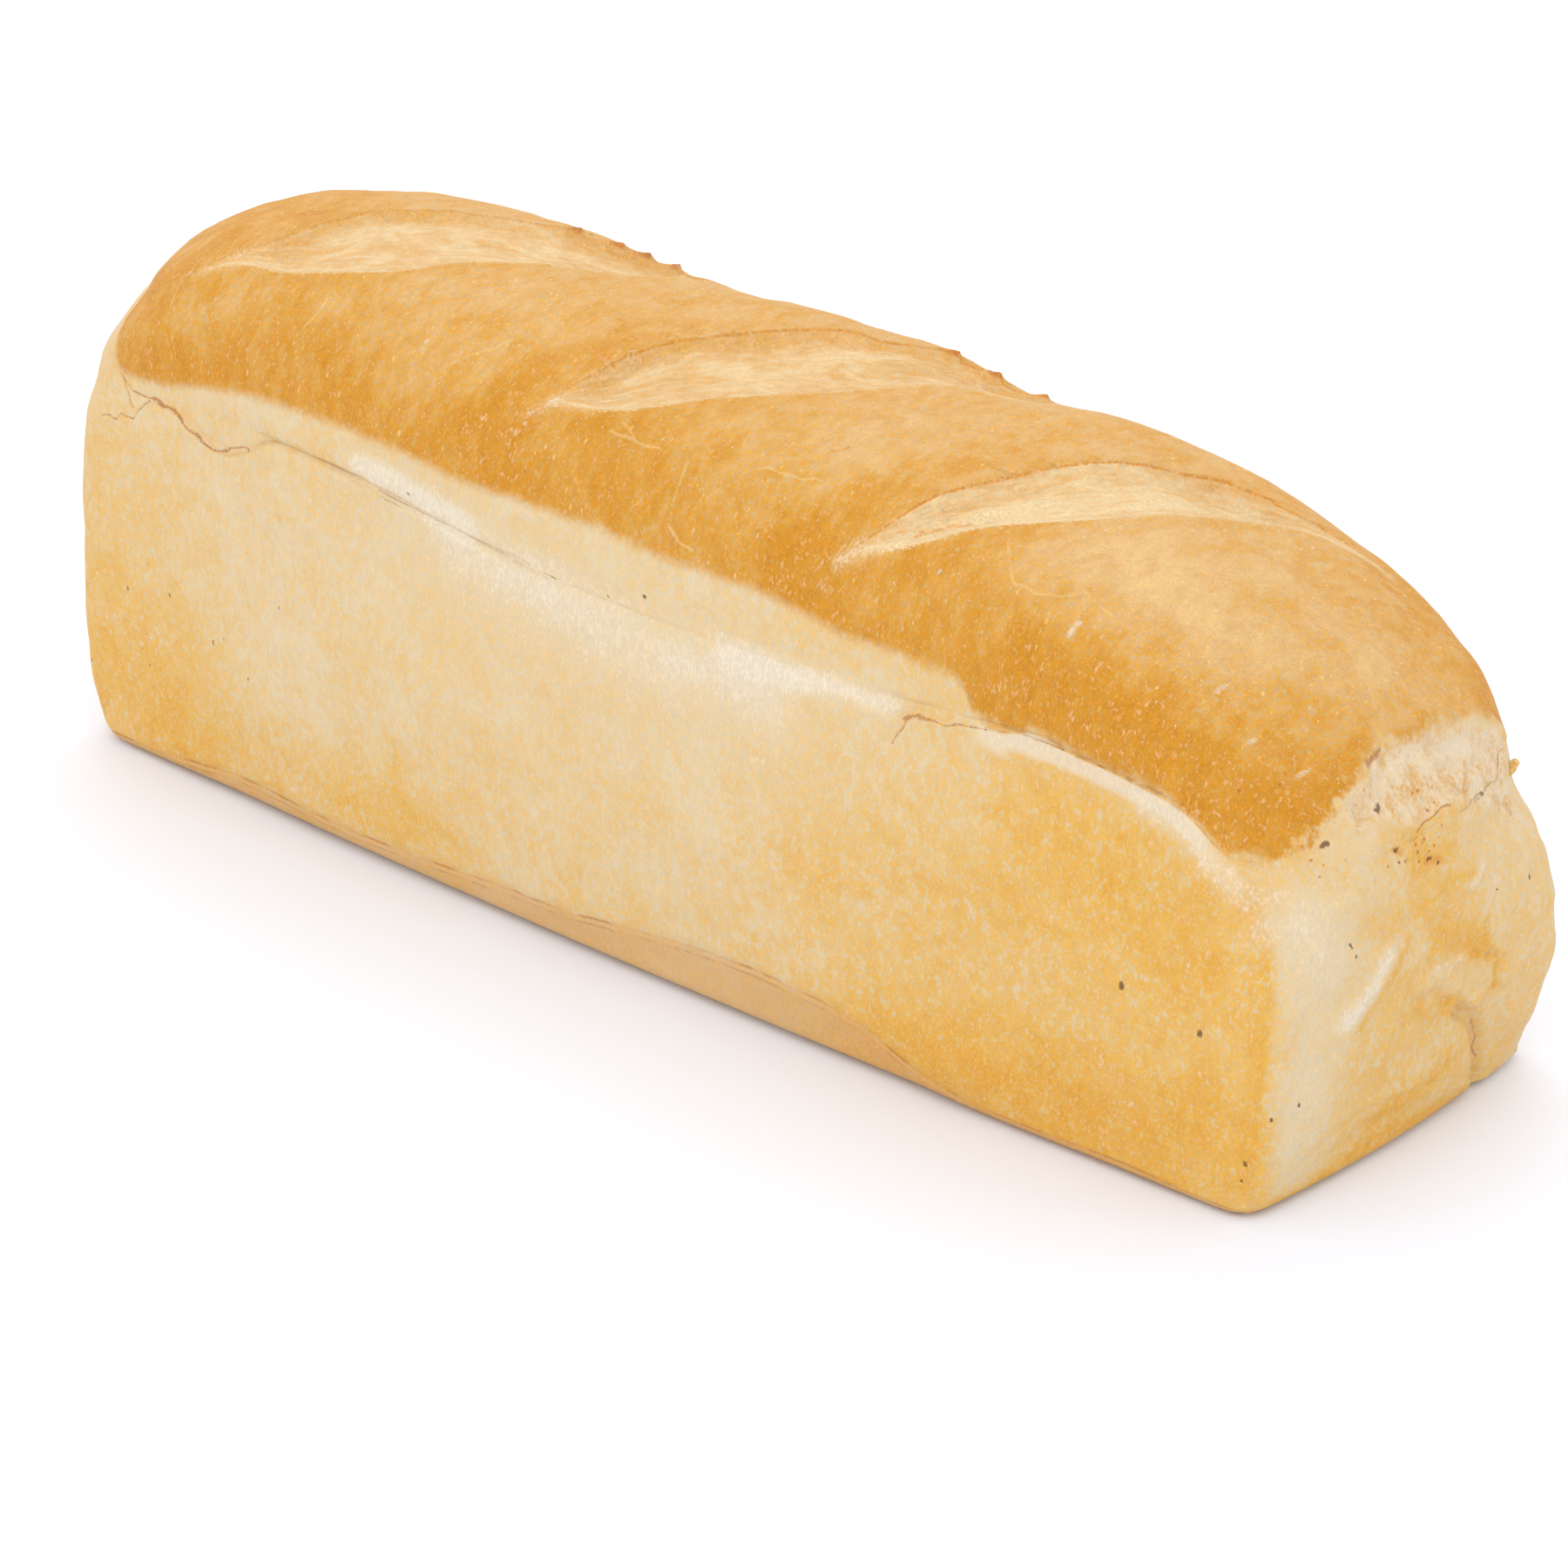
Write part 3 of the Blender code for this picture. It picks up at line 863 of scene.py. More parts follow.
GOLDEN = patches(
    (0.48, 30, (-192, -52, 22), (-165, -54, 18)),
    flatten=0.9,
) + patches(
    (0.22, 14, (-150, -56, 10), (-60, -58, 14)),
    (0.22, 9, (-92, -58, 12), (-70, -58, 18)),
    (0.45, 1.7, (-70.2, -58.7, 37.3), (-68.4, -58.6, 31.2), (-67.7, -58.8, 22.3), (-63.9, -58.9, 20.7),
     (-50, -58.9, 18)),
    (0.5, 20, (182, -52, 62), (140, -53, 82)),
    (1.1, 13, (92, -56, 6), (162, -56, 8)),
    (0.22, 16, (70, -57, 50), (130, -56, 60)),
    (1.1, 1.5, (191, -50.9, 8), (191.7, -50.5, 31), (191.8, -49.3, 43.4), (191.6, -48.2, 53.6),
     (190.1, -47.5, 63.4), (187.4, -47.9, 75.2), (184.5, -49.1, 81)),
    (0.75, 1.1, (200.3, -3, 39.2), (200.4, 3.5, 39), (200.1, 10, 33.5)),
    (0.75, 1.1, (201.2, 17.5, 43), (201, 27.5, 38.5), (200.4, 27, 31)),
    (0.7, 1, (201, 9, 50), (201, 19, 47), (201, 26, 41)),
    (0.55, 1.2, (200.3, -8, 56), (199.8, -14.4, 47.6), (199, -22, 39.5)),
    (0.45, 1.2, (200.2, -6, 62), (201, 6, 66), (201, 16, 64)),
    (0.65, 4.6, (201, 4, 53), (201, 18, 47)),
    (0.5, 4, (200, -5, 75), (200, 7, 73)),
    (0.3, 4.5, (196, -10, 91), (197, 4, 88)),
    (0.35, 3.2, (197, -10, 81), (199, 8, 85), (200, 20, 80)),
    (-0.12, 9, (203, 42, 66), (201, 46, 30)),
    (0.4, 3.5, (200, -2, 37), (200, 14, 30)),
    (1.1, 3.4, (194, -46, 0), (197, -26, 1), (198, -8, 4), (198, 8, 2), (197, 26, 0)),
    (0.5, 3, (198, -12, 12), (199, 6, 14), (198, 14, 16)),
    (0.55, 9, (170, -54, 18), (188, -53, 24), (190, -51, 12)),
    (0.25, 9, (199, -2, 64), (200, 8, 62)),
    (-0.84, 13, (196, -40, 12), (196, -38, 40), (194, -38, 66)),
    (-0.15, 14, (202, 26, 62), (201, 20, 70)),
) + patches(
    (0.14, 30, (-186, -52, 84), (-170, -54, 60)),
    (0.34, 40, (178, -52, 40), (115, -56, 8)),
    flatten=0.8,
)

WHITE = patches(
    (0.42, 8, (-46, -58, 98), (-10, -58, 93), (24, -58, 89), (56, -58, 88)),
    (0.22, 18, (-60, -58, 96), (0, -58, 86), (50, -58, 80)),
    flatten=0.9,
) + patches(
    (1.2, 3.3, (-82, -54, 107.2), (-67, -55, 106.2), (-54, -55, 103.3), (-44, -56, 101.2)),
    (0.8, 3.2, (42, -56, 93.2), (60, -56, 94.2), (91, -56, 95.8)),
    (0.6, 4, (160, -53, 93.4), (172, -52, 88.6), (183, -50, 80)),
    (0.4, 10, (193, -44, 76), (196, -36, 62)),
    (0.8, 3.4, (198.6, -27, 43.4), (199.2, -21.6, 47), (200, -16.8, 52.6), (200.3, -15, 55.5)),
    (0.55, 5, (194, 14, 94), (196, 30, 88)),
    (0.35, 4, (196, -20, 86), (194, -12, 95)),
    (0.4, 2.4, (200.8, 3, 44.5), (201, 12, 43)),
    (0.4, 2.8, (200.5, -2, 40), (200.4, 10, 36)),
    (0.5, 1.6, (201, 15, 61.5), (201, 20, 64.4)),
    (0.45, 4.4, (193.5, -28, 84), (195.5, -22, 80)),
)


@dataclass(frozen=True)
class Flake:
    """A small torn piece of crust that stands off the loaf, in millimetres."""

    place: Triple
    size: Triple
    turn: Triple
    seed: int

    def build(self, number: int) -> bpy.types.Object:
        """Model the flake as a small uneven closed lump.

        Args:
            number: Its number, which its name carries.

        Returns:
            The flake.
        """
        bpy.ops.mesh.primitive_ico_sphere_add(subdivisions=5, radius=1.0)
        flake = bpy.context.active_object
        flake.name = flake.data.name = f"crust_flake_{number}"
        points = get_points(flake)
        uneven = 1 + 0.12 * Ripple(1.6, self.seed).at(points)
        turned = (points * uneven[:, None] * np.array(self.size)) @ np.array(Euler(self.turn).to_matrix()).T
        set_points(flake, turned + np.array(self.place))
        flake.data.shade_smooth()
        return flake


FLAKES = (
    Flake((191.4, 43.9, 77.2), (1.2, 2.4, 1.5), (0.5, 0.2, 0.3), 51),
)


@dataclass
class Crust:
    """The whole outer skin of the loaf, as one closed fine mesh.

    Each span and band is where a feature starts, is full, starts to fade and ends.
    """

    form: LoafForm = field(default_factory=LoafForm)
    coarse_reach: float = 3.8
    fine_reach: float = 1.4
    finest_reach: float = 0.55
    slash_depth: float = 3.0
    mean_width: float = 15.0
    near_step: float = 0.9
    ear_height: float = 0.8
    tip_height: float = 2.1
    tip_reach: float = 11.0
    tip_power: float = 1.4
    ear_reach: float = 9.0
    tip_fade: float = 2.2
    torn_depth: float = 1.7
    lip_height: float = 1.1
    overhang: float = 0.6
    mark_shake: float = 0.2
    crack_depth: float = 0.22
    mark_lifts: tuple = (("line", -0.15, 0, 1.4), ("wrinkle", 0.16, 0, 1.4), ("wrinkle", -0.08, 3.2, 1.4),
                         ("blister", 0.35, 0, 0.9))
    floor_fade: float = 12.0
    far_off: float = -20.0
    crown_level: float = 108.0
    haze_level: float = 112.0
    torn_start: float = 180.0
    fold_start: float = 150.0
    # Span of the painted shade line along the crease, on the front.
    crease_shade_span: Window = (-120, -106, -24, -4)
    streak_span: Window = (111, 122, 170, 184)
    streak_band: Window = (0.2, 0.9, 4.0, 6.0)
    overhang_span: Window = (104, 112, 178, 190)
    lip_span: Window = (-24, -14, 38, 48)
    creased_band: Window = (22, 36, 62, 78)

    def build(self, low: Vector, high: Vector) -> bpy.types.Object:
        """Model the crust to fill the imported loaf's box.

        Args:
            low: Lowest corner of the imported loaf's box, in metres.
            high: Its highest corner.

        Returns:
            The crust.
        """
        centre = self.find_centre(low, high)
        skin = self.gridded_block()
        for reach in (self.coarse_reach, self.fine_reach, self.finest_reach):
            self.refine(skin, reach, centre)
        points, side = self.form.place(block_places(skin), CREASE, centre)
        set_points(skin, points)
        traits = self.traits(points, side)
        relief = self.relief(points, traits)
        set_points(skin, points + vertex_normals(skin) * relief[:, None])
        for name, values in traits.items():
            attribute = skin.data.attributes.new(name, "FLOAT", "POINT")
            attribute.data.foreach_set("value", values.astype(np.float32))
        self.close_base(skin)
        skin.data.shade_smooth()
        return skin

    def find_centre(self, low: Vector, high: Vector) -> Array:
        """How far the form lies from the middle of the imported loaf's box, in millimetres."""
        cells = np.linspace(0.0, 1.0, 201)
        rim = np.array([(a, b, c) for a in cells for b in (0.0, 1.0) for c in (0.3, 0.5, 0.6, 0.65, 0.7)])
        ends = rim[:, [1, 0, 2]]
        points, _ = self.form.place(np.concatenate([rim, ends]), CREASE, np.zeros(3))
        middle = (points.min(axis=0) + points.max(axis=0)) / 2
        target = (np.array(low) + np.array(high)) / 2 / MM
        return np.array([middle[0] - target[0], middle[1] - target[1], -low.z / MM])

    def gridded_block(self) -> bpy.types.Object:
        """A cube of two units, cut into cells along each axis."""
        bpy.ops.mesh.primitive_cube_add(size=2.0)
        block = bpy.context.active_object
        block.name = block.data.name = "loaf_crust"
        cells = (self.form.length_cells, 2 * self.form.rings, self.form.rows.total)
        for axis, count in enumerate(cells):
            ends = edge_ends(block)
            others = [other for other in range(3) if other != axis]
            parallel = np.all(np.abs(ends[:, 0, others] - ends[:, 1, others]) < 1e-5, axis=1)
            pick(block, Kind.EDGE, parallel)
            bpy.ops.mesh.subdivide(number_cuts=count - 1)
            bpy.ops.object.mode_set(mode="OBJECT")
        return block

    def refine(self, skin: bpy.types.Object, reach: float, centre: Array) -> None:
        """Halve the cells that lie near fine features.

        Args:
            skin: The gridded block.
            reach: Distance from a feature, in millimetres, within which cells are halved.
            centre: What the loaf is moved by to stand in the middle.
        """
        block = (face_middles(skin) + 1) / 2
        points, side = self.form.place(block, CREASE, centre)
        traits = self.traits(points, side)
        x, _, z = points.T
        front, right = side == Side.FRONT.value, side == Side.RIGHT.value
        brown = traits["brown"]
        edges = np.minimum(np.abs(traits["cut_far"]), np.abs(traits["cut_near"]))
        near = (edges < reach) & (traits["cut_in"] > -reach)
        near |= self.mark_gap(points, CRACKS + SPOTS) < 0.35 + reach * 0.55
        creased = (traits["hold"] > 0.3) & (side != Side.BACK.value)
        near |= creased & (np.abs(traits["seam"] + 0.2) < reach * 1.1)
        if reach > self.finest_reach:
            near |= traits["torn"] > -reach
            near |= self.mark_gap(points, LINES + WRINKLES + BLISTERS) < 0.35 + reach * 0.35
            near |= front & (np.abs(traits["foot"]) < reach * 0.7) & (z > 3)
            near |= front & (np.abs(brown) < reach * 0.5) & (x > 104)
        if reach > self.fine_reach:
            near |= traits["cut_in"] > 0
            near |= right & (z > 4) & (brown < 3)
        else:
            near |= right & (np.abs(self.fold_relief(points)) > 0.35 / reach)
        near &= z > 0.5
        pick(skin, Kind.FACE, near)
        bpy.ops.mesh.subdivide(number_cuts=1, ngon=False)
        bpy.ops.object.mode_set(mode="OBJECT")

    def mark_gap(self, points: Array, marks: Sequence[Mark]) -> Array:
        """Distance in millimetres to the nearest of some marks."""
        return np.min([mark.gap(points) for mark in marks], axis=0)

    def close_base(self, skin: bpy.types.Object) -> None:
        """Join the cells of the flat underside into one face."""
        flat = face_middles(skin)[:, 2] < NONE
        pick(skin, Kind.FACE, flat)
        bpy.ops.mesh.dissolve_faces()
        bpy.ops.object.mode_set(mode="OBJECT")

    def traits(self, points: Array, side: Array) -> dict[str, Array]:
        """How each place lies to the crust's features.

        Args:
            points: Places on the loaf, one row each, in millimetres.
            side: Number of the side that each is on.

        Returns:
            Values by name: distances in millimetres or half widths, or shares.
        """
        traits = self.cut_traits(points)
        x, y, z = points.T
        front, right = side == Side.FRONT.value, side == Side.RIGHT.value
        traits["seam"] = np.clip(z - CREASE.height(points, side), -60, 60)
        brown = np.clip(z - BROWN_EDGE.height(points, side), -60, 60)
        traits["brown"] = brown * (1 - 0.65 * ease(-x, 168, 180))
        traits["foot"] = np.clip(z - FOOT.height(points, side), -20, 60)
        traits["strip"] = front.astype(float)
        traits["hold"] = CREASE_HOLD.height(points, side)
        torn = np.minimum(follow(TORN_TOP, y) - z, z - follow(TORN_FOOT, y))
        torn = np.minimum(torn, np.minimum(y + 25, 42 - y))
        traits["torn"] = np.where(x > self.torn_start, np.clip(torn, -10, 20), -10.0)
        shake = [Ripple(5.5, seed).at(points) for seed in (31, 32, 33)]
        shaken = points + self.mark_shake * np.stack(shake, axis=1)
        for name, group in MARKS.items():
            gaps = [mark.gap(shaken if len(mark.route) > 2 else points) / mark.width for mark in group]
            traits[name] = np.minimum(np.min(gaps, axis=0), 12.0)
        traits["golden"] = self.golden_share(points, side)
        traits["white"] = covered(points, WHITE)
        traits["toast_and_sheen"] = self.toast_and_sheen_share(points, traits)
        traits["ragged"] = np.where(right, 1.0 - 0.6 * ease(y, -26, -14), 0.35 * ease(x, 95, 110))
        # Where the painted shade line along the crease shows.
        traits["groove"] = traits["hold"] * front * between(x, *self.crease_shade_span)
        below = between(-traits["brown"], *self.streak_band)
        traits["streak"] = below * front * between(x, *self.streak_span)
        traits["speckle"] = covered(points, SPECKLE)
        traits["haze"] = covered(points, HAZE) * (z > self.haze_level)
        traits["over"] = front * between(x, *self.overhang_span)
        return traits

    def cut_traits(self, points: Array) -> dict[str, Array]:
        """How each place lies to the slashes."""
        count = len(points)
        names = ("cut_along", "cut_far", "cut_near", "cut_in", "cut_across", "soft", "tip", "tone", "edge")
        best = {name: np.zeros(count) for name in names}
        for name in ("cut_far", "cut_near", "cut_in"):
            best[name] += self.far_off
        crown = points[:, 2] > self.crown_level
        for number, slash in enumerate(SLASHES):
            along, far, near, inside = slash.lie(points)
            here = crown & (inside > best["cut_in"])
            tip = np.zeros(count)
            for place in slash.tips:
                before = place - points[:, 0]
                rising = np.clip(1 - before / self.tip_reach, 0, 1) ** self.tip_power
                tip = np.maximum(tip, np.where(before > 0, rising, 1 - ease(-before, 0.0, 1.3)))
            tip = tip * slash.rise
            across = self.mean_width * np.clip(near / np.maximum(near + far, 1.0), -0.5, 1.5)
            length = np.hypot(slash.far[-1][0] - slash.far[0][0], slash.far[-1][1] - slash.far[0][1])
            soft = hump(np.minimum(along, length - along), 0.0, 9.0)
            soft = np.maximum(soft, 0.7 * ease(along / length, 0.35, 0.6) * (near < far))
            lay = (along + 200.0 * number, far, near, inside, across, soft, tip, slash.tone, slash.edge)
            for name, values in zip(names, lay):
                best[name] = np.where(here, values, best[name])
        for name in ("cut_far", "cut_near", "cut_in"):
            best[name] = np.clip(best[name], self.far_off, 40)
        return best

    def golden_share(self, points: Array, side: Array) -> Array:
        """How strongly the pale walls have taken colour in the oven.

        Args:
            points: Places on the loaf.
            side: Number of the side that each is on.

        Returns:
            Shares from 0 to 1.
        """
        x, _, z = points.T
        share = 0.16 + 0.18 * (1 - ease(z, 0, 60)) + 0.12 * ease(x, 20, 130) + 0.06 * ease(x, -120, -170)
        share = np.where(side == Side.RIGHT.value, 0.35 + 0.15 * (1 - ease(z, 10, 70)), share)
        for patch in GOLDEN:
            share = share + patch.share(points)
        return np.clip(share, 0, 1.2)

    def toast_and_sheen_share(self, points: Array, traits: dict[str, Array]) -> Array:
        """How dark the crown is baked: most on its lower flanks and at the right end; its paling towards
        the top is partly painted sheen.

        Args:
            points: Places on the loaf.
            traits: How each place lies to the features.

        Returns:
            Shares from 0 to about 1.3.
        """
        x, y, _ = points.T
        # Paler towards the top of the crown: partly baking, partly painted sheen.
        share = 1.0 - 0.85 * ease(traits["brown"], 4, 34)
        share += 0.25 * ease(x, 90, 150) * (1 - ease(traits["brown"], 6, 26))
        share += 0.35 * ease(-x, 120, 165) * ease(traits["brown"], 10, 30)
        beside = hump(np.maximum(-traits["cut_near"], 0), 0, 7) * (traits["cut_in"] > -16)
        share += 0.40 * beside * ease(-y, -10, 15)
        for patch in TOAST_AND_SHEEN:
            share = share + patch.share(points)
        return np.clip(share, -1.0, 1.4)

    def relief(self, points: Array, traits: dict[str, Array]) -> Array:
        """How far each place is lifted off the plain form.

        Args:
            points: Places on the loaf.
            traits: How each place lies to the features.

        Returns:
            Lifts in millimetres along the skin's normal.
        """
        x, y, z = points.T
        seam, brown, hold, over = traits["seam"], traits["brown"], traits["hold"], traits["over"]
        height = self.slash_relief(traits)
        height += follow(CREST, x) * ease(y, -5, 25) * ease(brown, 4, 24)
        height += hold * (1 - over) * (0.15 * hump(seam, -1.6, 1.3) - 0.26 * hump(seam, 0.2, 0.9))
        height += over * self.overhang * hump(brown, 3.0, 3.5)
        standing = ease(z - traits["foot"], 2.5, 5.0)
        height -= standing * (0.45 * hump(traits["foot"], 0, 0.9) + 0.8 * ease(-traits["foot"], 0, 6))
        height += self.torn_relief(points, traits)
        height += np.where(x > self.fold_start, self.fold_relief(points) + LOW_LOBE.relief(points), 0.0)
        creased = ease(x, 193, 198) * between(z, *self.creased_band) * ease(y, -24, -8)
        height += creased * roughened(points, CREASED)
        height += follow(LEFT_SHOULDER, z) * ease(-x, 130, 160) * (1 - ease(y, -15, 20))
        height += follow(RIGHT_SHOULDER, z) * ease(x, 140, 175) * ease(y, 0, 30)
        height -= self.crack_depth * hump(np.maximum(traits["crack"] - 0.4, 0), 0, 1.0)
        for name, lift, centre, reach in self.mark_lifts:
            height += lift * hump(traits[name], centre, reach)
        off_floor = ease(z, 0, self.floor_fade)
        return height + off_floor * roughened(points, UNEVEN)

    def fold_relief(self, points: Array) -> Array:
        """Lift of the folds where the dough was tucked in at the right end."""
        return sum(fold.relief(points) for fold in END_FOLDS)

    def torn_relief(self, points: Array, traits: dict[str, Array]) -> Array:
        """Lift of the torn hollow at the right end, with the lip over it.

        Args:
            points: Places on the loaf.
            traits: How each place lies to the features.

        Returns:
            Lifts in millimetres.
        """
        torn = traits["torn"]
        inside = ease(torn, -0.3, 2.2)
        x, y, z = points.T
        lip = self.lip_height * hump(z - follow(TORN_TOP, y), 1.6, 1.8) * between(y, *self.lip_span)
        lip = lip * (x > self.torn_start)
        return inside * (roughened(points, FIBRES) - self.torn_depth * ease(torn, 0, 5)) + lip

    def slash_relief(self, traits: dict[str, Array]) -> Array:
        """Lift of the slashes: a hollow floor behind a small step, and a far lip that stands up.

        Args:
            traits: How each place lies to the features.

        Returns:
            Lifts in millimetres.
        """
        far, near, cut = traits["cut_far"], traits["cut_near"], traits["cut_in"]
        width = np.maximum(far + near, 0.01)
        opening = ease(width, 1, 16) * ease(cut + np.minimum(far, 0) * -1.0, -3, 3)
        inside = np.clip(near / width, 0.0, 1.0)
        floor = -self.near_step * ease(near, -0.2, 1.0) - self.slash_depth * np.sin(math.pi * inside) ** 0.8
        falling, standing = (
            np.where(far > 0, 1 - ease(far, 0, inner), np.exp(np.minimum(far, 0) / outer))
            for inner, outer in ((3.0, self.ear_reach), (1.2, self.tip_fade))
        )
        lip = np.where(near > 0, self.ear_height * falling, 0.0)
        peak = self.tip_height * traits["tip"] * standing * ease(width, 0.5, 5) * (near > 0)
        peak = peak * ease(cut + np.maximum(-far, 0), -1.5, 0)
        along = np.stack([traits["cut_along"], traits["cut_across"], 0 * far], axis=1)
        strings = roughened(along, BROAD_STRINGS) * ease(cut, 0, 2)
        strings += roughened(along, THIN_STRINGS) * ease(cut, 0, 1.5)
        return opening * (np.where(cut > 0, floor + strings, 0.0) + lip) + peak


# ---------------------------------------------------------------- mesh handling


class Kind(Enum):
    """What is selected in edit mode."""

    EDGE = "EDGE"
    FACE = "FACE"


def pick(thing: bpy.types.Object, kind: Kind, chosen: Array) -> None:
    """Enter edit mode with only the chosen edges or faces selected.

    Args:
        thing: The object to edit.
        kind: Whether edges or faces are chosen.
        chosen: True for each chosen one.
    """
    bpy.ops.object.mode_set(mode="EDIT")
    bpy.ops.mesh.select_mode(type=kind.value)
    bpy.ops.mesh.select_all(action="DESELECT")
    bpy.ops.object.mode_set(mode="OBJECT")
    elements = thing.data.edges if kind is Kind.EDGE else thing.data.polygons
    elements.foreach_set("select", chosen)
    bpy.ops.object.mode_set(mode="EDIT")


def read_rows(elements: bpy.types.bpy_prop_collection, name: str) -> Array:
    """A value of three numbers that each element of a mesh has, one row each."""
    values = np.empty(len(elements) * 3, np.float32)
    elements.foreach_get(name, values)
    return values.reshape(-1, 3).astype(float)


def get_points(thing: bpy.types.Object) -> Array:
    """Vertex places of an object, one row each, in its own units."""
    return read_rows(thing.data.vertices, "co")


def set_points(thing: bpy.types.Object, points: Array) -> None:
    """Move an object's vertices to places given in millimetres."""
    thing.data.vertices.foreach_set("co", (points * MM).astype(np.float32).ravel())
    thing.data.update()


def block_places(thing: bpy.types.Object) -> Array:
    """Vertex places of a two-unit block as shares from 0 to 1."""
    return (get_points(thing) + 1) / 2


def edge_ends(thing: bpy.types.Object) -> Array:
    """Both ends of each edge."""
    pairs = np.empty(len(thing.data.edges) * 2, np.int32)
    thing.data.edges.foreach_get("vertices", pairs)
    return get_points(thing)[pairs.reshape(-1, 2)]


def face_middles(thing: bpy.types.Object) -> Array:
    """Middle of each face, one row each."""
    return read_rows(thing.data.polygons, "center")


def vertex_normals(thing: bpy.types.Object) -> Array:
    """Outward direction at each vertex, one row each."""
    return read_rows(thing.data.vertex_normals, "vector")


# ---------------------------------------------------------------- finishes

Socket = Union[bpy.types.NodeSocket, float]
Tint = tuple[float, float, float, float]


def tint(red: int, green: int, blue: int) -> Tint:
    """Linear colour of a screen colour with parts from 0 to 255."""
    parts = [part / 255 for part in (red, green, blue)]
    linear = [part / 12.92 if part <= 0.04045 else ((part + 0.055) / 1.055) ** 2.4 for part in parts]
    return (*linear, 1.0)


class Graph:
    """The nodes of one material, added and linked one after another."""

    def __init__(self, name: str) -> None:
        """Start a material with a plain shader and the piece's own coordinates in millimetres."""
        self.material = bpy.data.materials.new(name)
        self.material.use_nodes = True
        self.tree = self.material.node_tree
        self.shader = self.tree.nodes["Principled BSDF"]
        node = self.tree.nodes.new("ShaderNodeVectorMath")
        node.operation = "SCALE"
        node.inputs["Scale"].default_value = 1 / MM
        self.link(node.inputs[0], self.tree.nodes.new("ShaderNodeTexCoord").outputs["Object"])
        self.place = node.outputs["Vector"]

    def link(self, socket: bpy.types.NodeSocket, value: object) -> None:
        """Feed a socket from another socket, or set it to a value."""
        if isinstance(value, bpy.types.NodeSocket):
            self.tree.links.new(value, socket)
        else:
            socket.default_value = value

    def add(self, kind: str, *values: object, **settings: object) -> bpy.types.Node:
        """Add a node.

        Args:
            kind: What the node's type is called after its prefix.
            values: What feeds its first sockets, in order.
            settings: The node's own settings.

        Returns:
            The node.
        """
        node = self.tree.nodes.new("ShaderNode" + kind)
        for name, setting in settings.items():
            setattr(node, name, setting)
        for socket, value in zip(node.inputs, values):
            self.link(socket, value)
        return node

    def math(self, operation: str, *values: Socket) -> Socket:
        """The result of an operation on numbers."""
        return self.add("Math", *values, operation=operation).outputs[0]

    def times(self, first: Socket, *others: Socket) -> Socket:
        """The product of numbers."""
        for other in others:
            first = self.math("MULTIPLY", first, other)
        return first

    def shifted(self, value: Socket, shift: float) -> Socket:
        """A number with a constant added."""
        return self.math("ADD", value, shift)

    def apart(self, value: Socket, centre: float = 0.0) -> Socket:
        """How far a number lies from a constant."""
        return self.math("ABSOLUTE", self.shifted(value, -centre) if centre else value, 0.0)

    def total(self, *parts: tuple[Socket, float], shift: float = 0.0) -> Socket:
        """Weighted sum of numbers.

        Args:
            parts: Numbers with their weights.
            shift: Constant that is added.

        Returns:
            The sum's socket.
        """
        for value, weight in parts:
            shift = self.math("MULTIPLY_ADD", value, weight, shift)
        return shift

    def spread(self, value: Socket, low: float, high: float, top: float = 1.0,
               bottom: float = 0.0) -> Socket:
        """Smooth step of a value, from the bottom level at the low value to the top one at the high."""
        node = self.add("MapRange", value, low, high, bottom, top, interpolation_type="SMOOTHSTEP")
        return node.outputs["Result"]

    def patterned(self, kind: str, size: float, stretch: Triple, place: object,
                  **amounts: float) -> bpy.types.Node:
        """Add a pattern node.

        Args:
            kind: What the node's type is called after its prefix.
            size: Size of the pattern in millimetres.
            stretch: How much longer it is along each axis.
            place: Coordinates in millimetres, if not the piece's own.
            amounts: Values for its other sockets.

        Returns:
            The node.
        """
        node = self.add(kind)
        squeezed = self.add("VectorMath", place or self.place, tuple(size * part for part in stretch),
                            operation="DIVIDE")
        self.link(node.inputs["Vector"], squeezed.outputs["Vector"])
        for name, amount in {"Scale": 1.0, **amounts}.items():
            node.inputs[name].default_value = amount
        return node

    def noise(self, size: float, stretch: Triple = EVEN, detail: float = 2.0, roughness: float = 0.5,
              place: object = None, warp: float = 0.0) -> Socket:
        """Cloudy pattern between 0 and 1.

        Args:
            size: Size of its clouds in millimetres.
            stretch: How much longer the clouds are along each axis.
            detail: How many finer layers it has.
            roughness: How strong the finer layers are.
            place: Coordinates in millimetres, if not the piece's own.
            warp: How far the pattern is swirled.

        Returns:
            The pattern's socket.
        """
        node = self.patterned("TexNoise", size, stretch, place,
                              Detail=detail, Roughness=roughness, Distortion=warp)
        return node.outputs["Fac"]

    def cells(self, size: float, stretch: Triple = EVEN) -> tuple[Socket, Socket]:
        """Scattered cells: the distance to the nearest middle, and a random number for each cell."""
        node = self.patterned("TexVoronoi", size, stretch, None)
        return node.outputs["Distance"], self.add("SeparateColor", node.outputs["Color"]).outputs[0]

    def mix(self, share: Socket, first: object, second: object) -> Socket:
        """Blend two colours by a share."""
        node = self.add("Mix", share, data_type="RGBA")
        self.link(node.inputs[6], first)
        self.link(node.inputs[7], second)
        return node.outputs[2]

    def trait(self, name: str) -> Socket:
        """A value kept at each vertex of the piece."""
        return self.add("Attribute", attribute_name=name).outputs["Fac"]

    def finish(self, colour: Socket, roughness: float, height: Socket, depth: float,
               strength: float) -> None:
        """Feed the shader.

        Args:
            colour: The surface's colour.
            roughness: Its roughness.
            height: Its fine relief, from 0 to 1.
            depth: Depth of the relief in millimetres.
            strength: How much of it shows.
        """
        self.link(self.shader.inputs["Base Color"], colour)
        self.shader.inputs["Roughness"].default_value = roughness
        bump = self.add("Bump")
        bump.inputs["Strength"].default_value = strength
        bump.inputs["Distance"].default_value = depth * MM
        self.link(bump.inputs["Height"], height)
        self.link(self.shader.inputs["Normal"], bump.outputs["Normal"])


